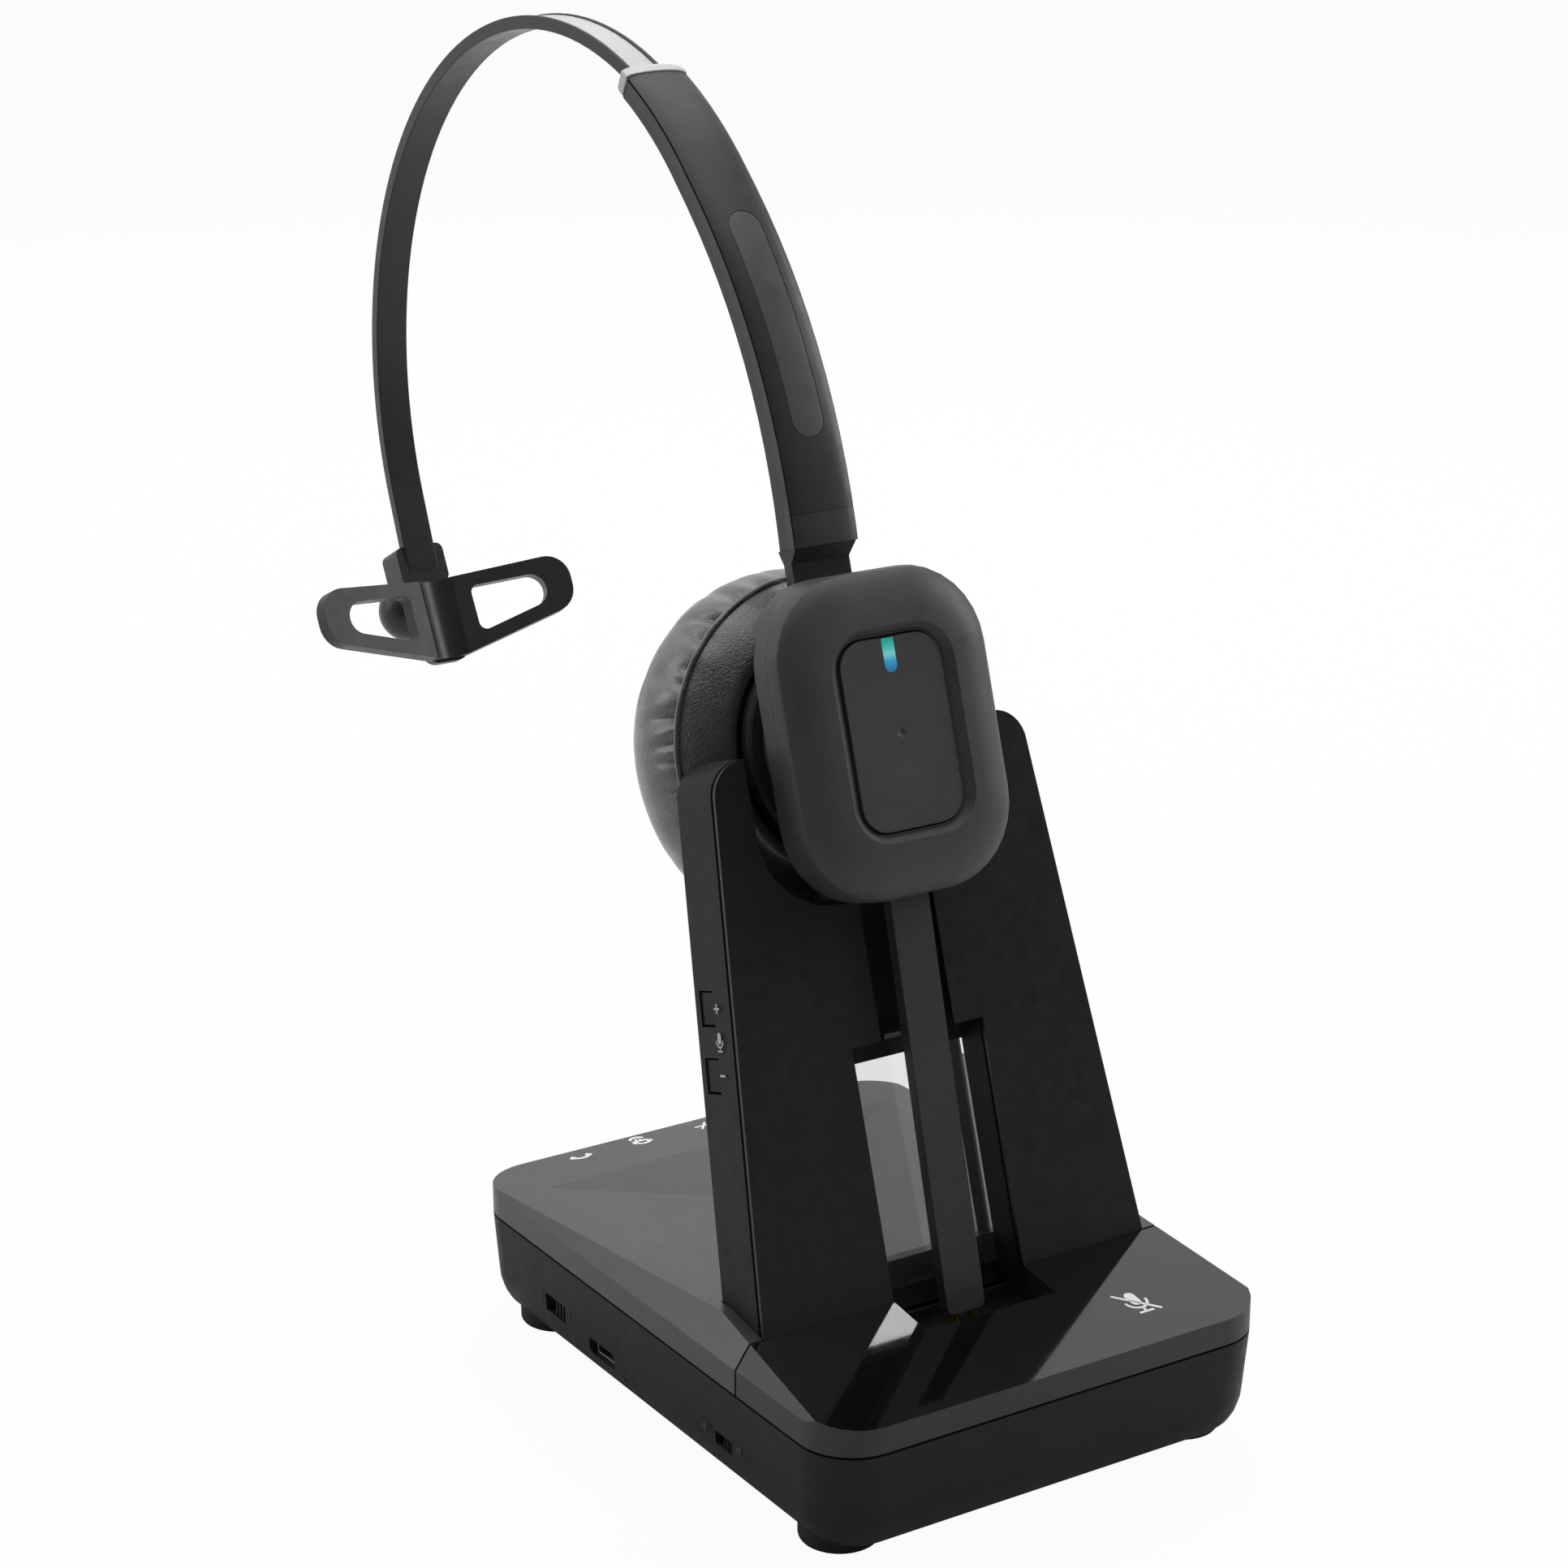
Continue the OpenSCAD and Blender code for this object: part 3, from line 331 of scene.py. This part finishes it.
def circuit():
    """Green board with a pattern of tracks."""
    m = Shader("circuit_board")
    tracks = m.add("ShaderNodeTexBrick", Scale=160)
    m.link(m.coords, tracks.inputs["Vector"])
    tracks.inputs["Color1"].default_value = srgb((14, 70, 40))
    tracks.inputs["Color2"].default_value = srgb((18, 84, 48))
    tracks.inputs["Mortar"].default_value = srgb((40, 120, 70))
    m.wire(Base_Color=tracks.outputs["Color"], Roughness=m.to_range(m.noise(300), 0.3, 0.42))
    return m.mat


def printed(name, grey):
    """Screen-printed ink with a slightly uneven film."""
    m = Shader(name)
    film = m.noise(2600, 3)
    base = srgb(grey)
    m.wire(Base_Color=m.ramp(film, [(0.3, scaled(base, 0.9)), (0.7, base)]),
           Roughness=m.to_range(film, 0.4, 0.55), Normal=m.bump(film, 0.003 * MM))
    return m.mat


def sleeve_plastic():
    """Satin band plastic with a moulding seam across the sleeve, lighter below it."""
    m = Shader("sleeve_plastic", moulded("sleeve_plastic", 60, 0.36, grain=0.006, specular=0.35))
    seam = tower(0, SLEEVE_SEAM_UP, 0).dot(TOWER_UP)
    along = m.dot(m.coords, TOWER_UP)
    below = m.to_range(along, 1.0, 0.0, seam - 0.05 * MM, seam + 0.05 * MM)
    apart = m.math("ABSOLUTE", m.math("SUBTRACT", along, seam))
    line = m.to_range(apart, 0.55, 1.0, 0.08 * MM, 0.16 * MM)
    plain = m.bsdf.inputs["Base Color"].links[0].from_socket
    lighter = m.mix(1.0, plain, (1.35, 1.35, 1.35, 1.0), "MULTIPLY")
    line_tone = m.ramp(line, [(0.0, BLACK), (1.0, WHITE)])
    m.wire(Base_Color=m.mix(1.0, m.mix(below, plain, lighter), line_tone, "MULTIPLY"))
    return m.mat


SLOT_MATERIALS = {
    "base_plastic": moulded("base_plastic", 46, 0.46, specular=0.12),
    "cover_plastic": moulded("cover_plastic", 60, 0.34, specular=0.6, rough_swing=0.03),
    "gloss_plastic": gloss_black(),
    "face_plastic": moulded("face_plastic", 37, 0.34, grain=0.004, specular=0.35),
    "earpiece_plastic": moulded("earpiece_plastic", 72, 0.46, grain=0.014, scale=3000,
                                specular=0.35),
    "boom_plastic": moulded("boom_plastic", 64, 0.4, grain=0.005, specular=0.3),
    "band_plastic": moulded("band_plastic", 52, 0.36, grain=0.006, specular=0.35),
    "key_plastic": moulded("key_plastic", 12, 0.45, specular=0.2),
    "label_plastic": moulded("label_plastic", 84, 0.34, grain=0.004),
    "foot_rubber": rubber(),
    "cushion_leatherette": leatherette("cushion_leatherette", 0.12, 0.75),
    "silver_trim": silver(),
    "window_clear": clear_window(),
    "light_guide": light_guide(),
    "steel": metal("steel", 178, 0.3, brushed=True),
    "speaker_metal": metal("speaker_metal", 110, 0.42),
    "contact_gold": metal("contact_gold", (222, 178, 92), 0.24),
    "circuit_board": circuit(),
    "ballast": metal("ballast", 120, 0.55),
    "battery_foil": moulded("battery_foil", 140, 0.3, grain=0.004),
}
INK_WHITE = printed("ink_white", 238)
INK_GREY = printed("ink_grey", 205)
INK_DARK = printed("ink_dark", 16)

SLOT_OF = {p["node"]: p["material_slot"] for p in frame["record"]["subparts"]}
for node_name, obj in NODES.items():
    obj.data.materials.clear()
    obj.data.materials.append(SLOT_MATERIALS[SLOT_OF[node_name]])
NODES["sleeve_shell"].data.materials[0] = sleeve_plastic()


# ---------- softened edges on the CAD nodes ----------

BEVEL_STEPS = 2
BEVEL_ANGLE = 24      # degrees: edges that turn more than this are rounded
CREASE_ANGLE = 2.0    # degrees: flatter turns than this are shaded as one surface
CREASE_AREA = 60      # mm2: a crease is kept only between two flats at least this large
FLAT_ANGLE = 0.6      # degrees: faces that turn less than this are one flat


def facets(mesh):
    """A key for each vertex, each edge's turn in degrees with its two faces, and a function
    that gives the area in mm2 of the flat that a face is part of."""
    keys = [tuple(round(c * 1e6) for c in v.co) for v in mesh.vertices]
    sides = {}
    for face in mesh.polygons:
        ring = [keys[i] for i in face.vertices]
        for p, q in zip(ring, ring[1:] + ring[:1]):
            sides.setdefault((min(p, q), max(p, q)), []).append(face.index)
    group = list(range(len(mesh.polygons)))

    def root(i):
        while group[i] != i:
            group[i] = group[group[i]]
            i = group[i]
        return i

    bends = {}
    for edge, owners in sides.items():
        if len(owners) == 2:
            first, second = (mesh.polygons[i].normal for i in owners)
            turn = math.degrees(first.angle(second, 0.0))
            bends[edge] = (turn, owners)
            if turn < FLAT_ANGLE:
                group[root(owners[0])] = root(owners[1])
    size = {}
    for face in mesh.polygons:
        size[root(face.index)] = size.get(root(face.index), 0.0) + face.area * 1e6
    return keys, bends, lambda i: size[root(i)]


# Flats with openings in them, which must not be merged into one face.
PIERCED = ("tower_shell", "tower_face")


def soften(node_name, width):
    """Gives a CAD node small real edge radii and even shading, by modifiers only."""
    obj = NODES[node_name]
    mesh = obj.data
    if "custom_normal" in mesh.attributes:
        mesh.attributes.remove(mesh.attributes["custom_normal"])
    mesh.polygons.foreach_set("use_smooth", [True] * len(mesh.polygons))
    keys, bends, area_of = facets(mesh)
    for edge in mesh.edges:
        p, q = (keys[i] for i in edge.vertices)
        turn, owners = bends.get((min(p, q), max(p, q)), (0.0, ()))
        flat = len(owners) == 2 and min(area_of(i) for i in owners) > CREASE_AREA
        edge.use_edge_sharp = CREASE_ANGLE < turn <= BEVEL_ANGLE and flat
    weld = obj.modifiers.new("weld", "WELD")
    weld.merge_threshold = 0.001 * MM
    if node_name not in PIERCED:
        merge = obj.modifiers.new("flats", "DECIMATE")
        merge.decimate_type = "DISSOLVE"
        merge.angle_limit = math.radians(0.4)
        merge.delimit = {"SHARP"}
    bevel = obj.modifiers.new("edges", "BEVEL")
    bevel.width = width * MM
    bevel.segments = BEVEL_STEPS
    bevel.limit_method = "ANGLE"
    bevel.angle_limit = math.radians(BEVEL_ANGLE)
    bevel.miter_outer = "MITER_ARC"
    shade = obj.modifiers.new("normals", "WEIGHTED_NORMAL")
    shade.keep_sharp = True


# Edge widths in millimetres.
SOFT_EDGES = {
    "base_tray": 0.3, "rear_cover": 0.35, "front_panel": 0.35, "rubber_feet": 0.4,
    "tower_shell": 0.3, "tower_face": 0.3, "mic_up_key": 0.15, "mic_down_key": 0.15,
    "housing_back": 0.35, "housing_front": 0.3, "call_button": 0.35, "boom_arm": 0.3,
    "neck_yoke": 0.3, "sleeve_shell": 0.06, "sleeve_liner": 0.06, "sleeve_collar": 0.3,
    "slide_band": 0.25, "pad_clip": 0.35, "head_pad": 0.8, "cushion_carrier": 0.3,
    "ringer_knob": 0.08, "speaker_knob": 0.08, "micro_usb_socket": 0.06,
    "band_strip": 0.08, "label_inlay": 0.05, "light_bar": 0.1,
}
for node_name, width in SOFT_EDGES.items():
    soften(node_name, width)


# ---------- mesh helpers ----------

def new_mesh(name, verts, faces, material, slot, body, smooth=True):
    """A piece on a body; the slot argument is not used (it is None for ink, which no record slot stands for)."""
    mesh = bpy.data.meshes.new(name)
    mesh.from_pydata([tuple(v) for v in verts], [], faces)
    mesh.validate()
    mesh.polygons.foreach_set("use_smooth", [smooth] * len(mesh.polygons))
    obj = bpy.data.objects.new(name, mesh)
    bpy.context.scene.collection.objects.link(obj)
    mesh.materials.append(material)
    fix = bmesh.new()
    fix.from_mesh(mesh)
    bmesh.ops.recalc_face_normals(fix, faces=fix.faces)
    fix.to_mesh(mesh)
    fix.free()
    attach(obj, body)
    return obj


def ring_grid(rows):
    """Faces of a grid of rows of equal length, each row closed on itself."""
    n = len(rows[0])
    faces = []
    for i in range(len(rows) - 1):
        j = i + 1
        for k in range(n):
            q = (k + 1) % n
            faces.append((i * n + k, i * n + q, j * n + q, j * n + k))
    return faces


# ---------- ear cushion ----------

# Outlines are (radius, distance out of the tower's face) in millimetres.
EAR_STEPS = 420
EAR_DROP = 0.3
REAR_OUTLINE = [(28.2, -14.3), (29.0, -15.0), (30.2, -17.2), (31.0, -20.2), (31.2, -23.6),
                (30.4, -27.6), (28.2, -30.6), (24.8, -31.9), (21.3, -31.1), (18.4, -28.6),
                (16.7, -24.6), (16.0, -20.0), (15.9, -17.6)]
FRONT_OUTLINE = [(22.4, -11.7), (21.9, -10.4), (20.9, -9.3), (21.4, -8.65), (22.8, -8.8),
                 (24.6, -9.9), (26.4, -11.3), (27.8, -12.6), (28.6, -13.5), (28.95, -13.85),
                 (29.45, -13.8), (29.9, -14.2), (29.75, -14.75), (29.1, -14.95)]
# A gather's depth, the height of the ridges beside it, and how far round it is felt.
GATHER_DEPTH, RIDGE_HEIGHT, GATHER_REACH = 1.35, 0.34, 0.25
SEAM_R, SEAM_OUT = 29.05, -14.75
STITCHES = 150
THREAD_R = 0.16
THREAD_SIDES = 6


def smooth_path(points, steps):
    """Points along a Catmull-Rom curve through 2-D points."""
    out = []
    for i in range(len(points) - 1):
        p0 = points[max(i - 1, 0)]
        p1, p2 = points[i], points[i + 1]
        p3 = points[min(i + 2, len(points) - 1)]
        for k in range(steps):
            t = k / steps
            out.append(tuple(
                0.5 * (2 * b + (c - a) * t + (2 * a - 5 * b + 4 * c - d) * t * t
                       + (3 * b - a - 3 * c + d) * t ** 3)
                for a, b, c, d in zip(p0, p1, p2, p3)))
    return out + [points[-1]]


def creases(rng):
    """Irregular gathers round the seam: angle, width, depth, reach and slant of each."""
    items, angle = [], 0.0
    while angle < 358:
        items.append((math.radians(angle), math.radians(rng.uniform(1.0, 2.0)),
                      rng.uniform(0.5, 1.25), rng.uniform(0.45, 1.0),
                      math.radians(rng.uniform(-4, 4))))
        angle += rng.uniform(6.5, 12.5)
    return items


def ear_point(r, angle, n):
    """A point round the cushion's own axis."""
    return tower(r * math.cos(angle), EAR_UP - EAR_DROP + r * math.sin(angle), n)


def cushion_body():
    """The puffed rear of the cushion, gathered along its seam."""
    rng = random.Random(7)
    folds = creases(rng)
    path = smooth_path(REAR_OUTLINE, 6)
    count = len(path)
    rows = []
    for i, (r, n) in enumerate(path):
        ahead, behind = path[min(i + 1, count - 1)], path[max(i - 1, 0)]
        tangent = Vector((ahead[0] - behind[0], ahead[1] - behind[1])).normalized()
        out = Vector((-tangent.y, tangent.x))
        along = i / (count - 1)
        row = []
        for k in range(EAR_STEPS):
            angle = 2 * math.pi * k / EAR_STEPS
            push = 0.0
            for place, width, depth, reach, slant in folds:
                gap = (angle - place - slant * along * 3 + math.pi) % (2 * math.pi) - math.pi
                if abs(gap) > GATHER_REACH:
                    continue
                fade = max(0.0, 1 - along / (0.16 + 0.34 * reach)) ** 1.3
                wide = width * (1 + 3.0 * along)
                beside = (abs(gap) - 2.6 * wide) / (1.6 * wide)
                push -= depth * GATHER_DEPTH * fade * math.exp(-(gap / wide) ** 2)
                push += depth * RIDGE_HEIGHT * fade * math.exp(-beside ** 2)
            swell = 0.12 * math.sin(3 * angle + 1.1) + 0.08 * math.sin(7 * angle + 0.4)
            push += swell * math.sin(math.pi * min(1, along * 1.3))
            rise = min(1.0, along * 14)
            row.append(ear_point(r + out.x * push * rise, angle, n + out.y * push * rise))
        rows.append(row)
    verts = [v for row in rows for v in row]
    return verts, ring_grid(rows)


def cushion_front():
    """The smooth front ring: from the carrier's edge out to the stitched seam."""
    steps = EAR_STEPS // 2
    rows = []
    for r, n in smooth_path(FRONT_OUTLINE, 5):
        row = []
        for k in range(steps):
            angle = 2 * math.pi * k / steps
            wave = 0.10 * math.sin(23 * angle + 2 * math.sin(3 * angle))
            near_seam = max(0.0, (r - 26.5) / 3.2)
            row.append(ear_point(r + wave * near_seam * 0.5, angle, n + wave * near_seam))
        rows.append(row)
    return [v for row in rows for v in row], ring_grid(rows)


def stitches():
    """A run of short thread stitches just behind the seam flange."""
    verts, faces = [], []
    sides = THREAD_SIDES
    pitch = 2 * math.pi / STITCHES
    for i in range(STITCHES):
        mid = pitch * (i + 0.5)
        span = pitch * 0.36
        rings = []
        for j in range(5):
            t = -1 + j / 2
            angle = mid + span * t
            radius = THREAD_R * math.sqrt(max(0.04, 1 - t * t * 0.94))
            centre = SEAM_R - 0.12 * t * t
            ring = []
            for k in range(sides):
                turn = 2 * math.pi * k / sides
                ring.append(ear_point(centre + radius * math.cos(turn), angle,
                                      SEAM_OUT + radius * math.sin(turn)))
            rings.append(ring)
        start = len(verts)
        verts += [v for ring in rings for v in ring]
        faces += [tuple(start + a for a in face) for face in ring_grid(rings)]
        faces.append(tuple(start + k for k in range(sides)))
        faces.append(tuple(start + 4 * sides + k for k in range(sides)))
    return verts, faces


leather = SLOT_MATERIALS["cushion_leatherette"]
cushion = new_mesh("cushion_rear", *cushion_body(), leather, "cushion_leatherette", "earpiece")
new_mesh("cushion_front_ring", *cushion_front(), leather, "cushion_leatherette", "earpiece")
new_mesh("cushion_stitches", *stitches(), printed("thread", 58), "cushion_leatherette",
         "earpiece")
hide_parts("ear_cushion")


# ---------- printed marks ----------

INK_OVER, INK_UNDER = 0.05, 0.02


class Marks:
    """Thin printed shapes laid on a surface, in that surface's own millimetres."""

    def __init__(self, origin, across, up):
        self.origin = Vector(origin)
        self.u, self.v = Vector(across).normalized(), Vector(up).normalized()
        self.n = self.u.cross(self.v)
        self.verts, self.faces = [], []

    def shape(self, points):
        """A closed outline as a film, from just under the surface to just over it."""
        start, count = len(self.verts), len(points)
        for lift in (INK_OVER, -INK_UNDER):
            self.verts += [self.origin + (self.u * a + self.v * b + self.n * lift) * MM
                           for a, b in points]
        top = [start + i for i in range(count)]
        low = [start + count + i for i in range(count)]
        self.faces += [tuple(top), tuple(reversed(low))]
        for i in range(count):
            j = (i + 1) % count
            self.faces.append((top[i], low[i], low[j], top[j]))

    def stroke(self, points, width):
        left, right = [], []
        for i, here in enumerate(points):
            before, after = points[max(i - 1, 0)], points[min(i + 1, len(points) - 1)]
            run = Vector((after[0] - before[0], after[1] - before[1])).normalized()
            side = Vector((-run.y, run.x)) * width / 2
            left.append((here[0] + side.x, here[1] + side.y))
            right.append((here[0] - side.x, here[1] - side.y))
        self.shape(left + right[::-1])

    def arc(self, x, y, r, start, end, width):
        steps = 14
        turn = [math.radians(start + (end - start) * i / steps) for i in range(steps + 1)]
        self.stroke([(x + r * math.cos(a), y + r * math.sin(a)) for a in turn], width)

    def pill(self, x, y, w, h):
        r, out = w / 2, []
        for i in range(25):
            a = math.radians(360 * i / 24)
            lift = (h / 2 - r) * (1 if i <= 12 else -1)
            out.append((x + r * math.cos(a), y + lift + r * math.sin(a)))
        self.shape(out[:-1])

    def mic(self, k, x=0.0, y=0.0):
        self.pill(x, y + 2.0 * k, 2.0 * k, 3.8 * k)
        self.arc(x, y + 1.3 * k, 2.1 * k, 180, 360, 0.5 * k)
        self.stroke([(x, y - 0.8 * k), (x, y - 2.1 * k)], 0.5 * k)
        self.stroke([(x - 1.5 * k, y - 2.1 * k), (x + 1.5 * k, y - 2.1 * k)], 0.5 * k)

    def handset(self, k, x=0.0, y=0.0):
        self.arc(x, y + 3.2 * k, 4.0 * k, 225, 315, 1.1 * k)
        for side in (-1, 1):
            self.stroke([(x + side * 3.2 * k, y + 1.3 * k), (x + side * 2.1 * k, y + 0.1 * k)],
                        2.0 * k)

    def speaker(self, k, waves):
        self.shape([(-2.0 * k, 0.7 * k), (-2.0 * k, -0.7 * k), (-1.0 * k, -0.7 * k),
                    (0.2 * k, -1.7 * k), (0.2 * k, 1.7 * k), (-1.0 * k, 0.7 * k)])
        if waves:
            for r in (1.2, 2.1):
                self.arc(0.1 * k, 0, r * k, -48, 48, 0.32 * k)
        else:
            for side in (-1, 1):
                self.stroke([(0.9 * k, -0.9 * k * side), (2.6 * k, 0.9 * k * side)], 0.35 * k)

    def build(self, name, ink):
        return new_mesh(name, self.verts, self.faces, ink, None, "base", smooth=False)


def front_mark(x, y):
    """Marks on the front panel."""
    z = FRONT_CREST_Z + FRONT_RISE * (y - FRONT_CREST_Y)
    return Marks((x * MM, y * MM, z * MM), ACROSS, (0, 1, FRONT_RISE))


def rear_mark(x):
    """Marks on the flat rim behind the hollow."""
    z = REAR_EDGE_Z + REAR_FALL * (REAR_EDGE_Y - REAR_MARKS_Y)
    return Marks((x * MM, REAR_MARKS_Y * MM, z * MM), ACROSS, (0, 1, -REAR_FALL))


def wall_mark(y, z, x=WALL_X, lean=WALL_LEAN):
    """Marks on the base's left wall."""
    return Marks((x * MM, y * MM, z * MM), (0, -1, 0), (-lean, 0, 1))


side_mark = Marks(tower_side(PLUS_UP, KEY_MARK_OUT), TOWER_OUT,
                  tower_side(PLUS_UP, 0) - tower_side(MINUS_UP, 0))
minus = MINUS_UP - PLUS_UP
side_mark.stroke([(-0.85, 0), (0.85, 0)], 0.36)
side_mark.stroke([(0, -0.85), (0, 0.85)], 0.36)
side_mark.mic(0.52, 0.0, MIC_UP - PLUS_UP)
side_mark.stroke([(-0.85, minus), (0.85, minus)], 0.36)
side_mark.build("mark_volume", INK_GREY)

mute = front_mark(23.9, -49.5)
mute.mic(1.0, 0.0, -0.6)
mute.stroke([(-3.0, 3.6), (3.0, -3.0)], 0.55)
mute.build("mark_mute", INK_WHITE)

phone = rear_mark(-24.2)
phone.handset(0.62)
phone.build("mark_phone", INK_WHITE)
desk = rear_mark(-11.4)
desk.handset(0.55, 0.3, -0.5)
desk.arc(0.0, 1.2, 1.5, 20, 160, 0.6)
desk.stroke([(-1.6, 0.6), (1.6, 0.6)], 0.6)
desk.arc(0.0, 1.3, 0.5, 0, 359, 0.35)
desk.build("mark_desk_phone", INK_WHITE)
cross = rear_mark(2.4)
cross.stroke([(-1.9, 0.2), (1.9, 0.2)], 0.42)
cross.stroke([(-1.1, -1.3), (1.1, 1.6)], 0.42)
cross.stroke([(1.9, 1.1), (2.4, 1.1)], 0.5)
cross.build("mark_cross", INK_WHITE)

two = wall_mark(36.0, 11.0)
two.stroke([(-0.75, 0.75), (-0.6, 1.15), (-0.2, 1.4), (0.25, 1.4), (0.65, 1.1), (0.7, 0.65),
            (0.4, 0.1), (-0.75, -1.25)], 0.26)
two.stroke([(-0.85, -1.3), (0.85, -1.3)], 0.26)
two.build("mark_two", INK_DARK)
one = wall_mark(25.9, 11.0)
one.stroke([(0.15, -1.4), (0.15, 1.4)], 0.28)
one.stroke([(0.15, 1.35), (-0.55, 0.85)], 0.26)
one.build("mark_one", INK_DARK)
port = wall_mark(7.5, 6.8, -44.07, 0.30)
port.shape([(-0.75, -0.55), (0.75, -0.55), (0, 0.75)])
port.build("mark_port", INK_DARK)
loud = wall_mark(-21.0, 10.5)
loud.speaker(0.72, True)
loud.build("mark_speaker", INK_DARK)
quiet = wall_mark(-31.8, 10.7)
quiet.speaker(0.72, False)
quiet.build("mark_speaker_off", INK_DARK)


# ---------- camera, light and stage ----------

def look(position, pitch, yaw, lens, shift):
    """The scene's camera; pitch is downwards and yaw is to the right, in degrees."""
    data = bpy.data.cameras.new("camera")
    data.lens = lens
    data.sensor_width = 36
    data.shift_x, data.shift_y = shift
    cam = bpy.data.objects.new("camera", data)
    bpy.context.scene.collection.objects.link(cam)
    cam.location = position
    cam.rotation_euler = (math.radians(90 - pitch), 0, math.radians(-yaw))
    bpy.context.scene.camera = cam


def area_light(name, place, target, size, watts, mirrored=True):
    """A soft lamp; one that isn't mirrored lights the object but makes no highlight."""
    data = bpy.data.lights.new(name, "AREA")
    data.shape = "RECTANGLE"
    data.size, data.size_y = size
    data.energy = watts
    lamp = bpy.data.objects.new(name, data)
    bpy.context.scene.collection.objects.link(lamp)
    lamp.location = place
    lamp.visible_glossy = mirrored
    lamp.rotation_euler = (Vector(target) - Vector(place)).to_track_quat("-Z", "Y").to_euler()


FLOOR_REACH = 6.0
FLOOR_SEEN = 0.955
FLOOR_GREY = 0.62


def stage_floor():
    """A large pale floor that the camera sees as near white, with the object's shadow kept."""
    mesh = bpy.data.meshes.new("floor")
    corners = [(-1, -1), (1, -1), (1, 1), (-1, 1)]
    mesh.from_pydata([(x * FLOOR_REACH, y * FLOOR_REACH, 0) for x, y in corners], [],
                     [(0, 1, 2, 3)])
    floor = bpy.data.objects.new("floor", mesh)
    bpy.context.scene.collection.objects.link(floor)
    mat = bpy.data.materials.new("floor_pale")
    mat.use_nodes = True
    g = Graph(mat.node_tree)
    g.tree.nodes.remove(g.tree.nodes["Principled BSDF"])
    path = g.add("ShaderNodeLightPath").outputs
    place = g.axes(g.add("ShaderNodeNewGeometry").outputs["Position"])
    behind = g.to_range(place["Y"], 0.05, 0.85, from_lo=0.1, from_hi=0.9)
    seen = g.math("MULTIPLY", g.seen(path), FLOOR_SEEN)
    mirrored = g.math("MULTIPLY", path["Is Glossy Ray"], behind)
    diffuse = g.add("ShaderNodeBsdfDiffuse", Color=(FLOOR_GREY, FLOOR_GREY, FLOOR_GREY, 1))
    glow = g.add("ShaderNodeEmission", Color=WHITE)
    g.blend_shaders(g.math("MAXIMUM", seen, mirrored), diffuse.outputs[0], glow.outputs[0],
                    g.tree.nodes["Material Output"])
    mesh.materials.append(mat)


def world_light():
    """A soft room, brighter overhead and to the right, before a white backdrop that
    reflections see brighter behind and above."""
    world = bpy.data.worlds.new("studio")
    bpy.context.scene.world = world
    world.use_nodes = True
    g = Graph(world.node_tree)
    path = g.add("ShaderNodeLightPath").outputs
    way = g.axes(g.add("ShaderNodeTexCoord").outputs["Generated"])
    lift = g.to_range(way["Z"], 0.08, 0.42, from_lo=-0.2, from_hi=1.0)
    side = g.to_range(way["X"], 0.35, 1.0, from_lo=-0.9, from_hi=0.3)
    room = g.tree.nodes["Background"]
    room.inputs["Color"].default_value = WHITE
    g.link(g.math("MULTIPLY", lift, side), room.inputs["Strength"])
    rear = g.to_range(way["Y"], 0.05, 1.0, from_lo=-0.25, from_hi=0.75)
    high = g.to_range(way["Z"], 0.6, 1.15, from_lo=0.12, from_hi=0.5)
    seen = g.seen(path)
    glossy = g.math("MULTIPLY", path["Is Glossy Ray"], g.math("MULTIPLY", rear, high))
    backdrop = g.add("ShaderNodeBackground", Color=WHITE)
    g.link(g.math("MAXIMUM", seen, glossy), backdrop.inputs["Strength"])
    g.blend_shaders(g.math("MAXIMUM", seen, path["Is Glossy Ray"]), room.outputs[0],
                    backdrop.outputs[0], g.tree.nodes["World Output"])


look(position=(-0.32870, -0.48984, 0.30545), pitch=18.2535, yaw=32.746, lens=83.81,
     shift=(-0.00621, -0.00207))
stage_floor()
world_light()
area_light("top", place=(0.05, 0.15, 1.15), target=(0, 0, 0.1), size=(1.2, 1.0), watts=6)
area_light("rear_right", place=(0.40, 0.75, 0.85), target=(0, 0, 0.06), size=(0.7, 0.7),
           watts=9, mirrored=False)
area_light("right", place=(1.05, -0.25, 0.55), target=(0, 0, 0.1), size=(0.6, 0.7), watts=6)
area_light("rear_left", place=(-0.95, 0.75, 0.60), target=(0, 0, 0.13), size=(0.5, 0.8),
           watts=2.5)

bpy.context.scene.view_settings.view_transform = "Standard"
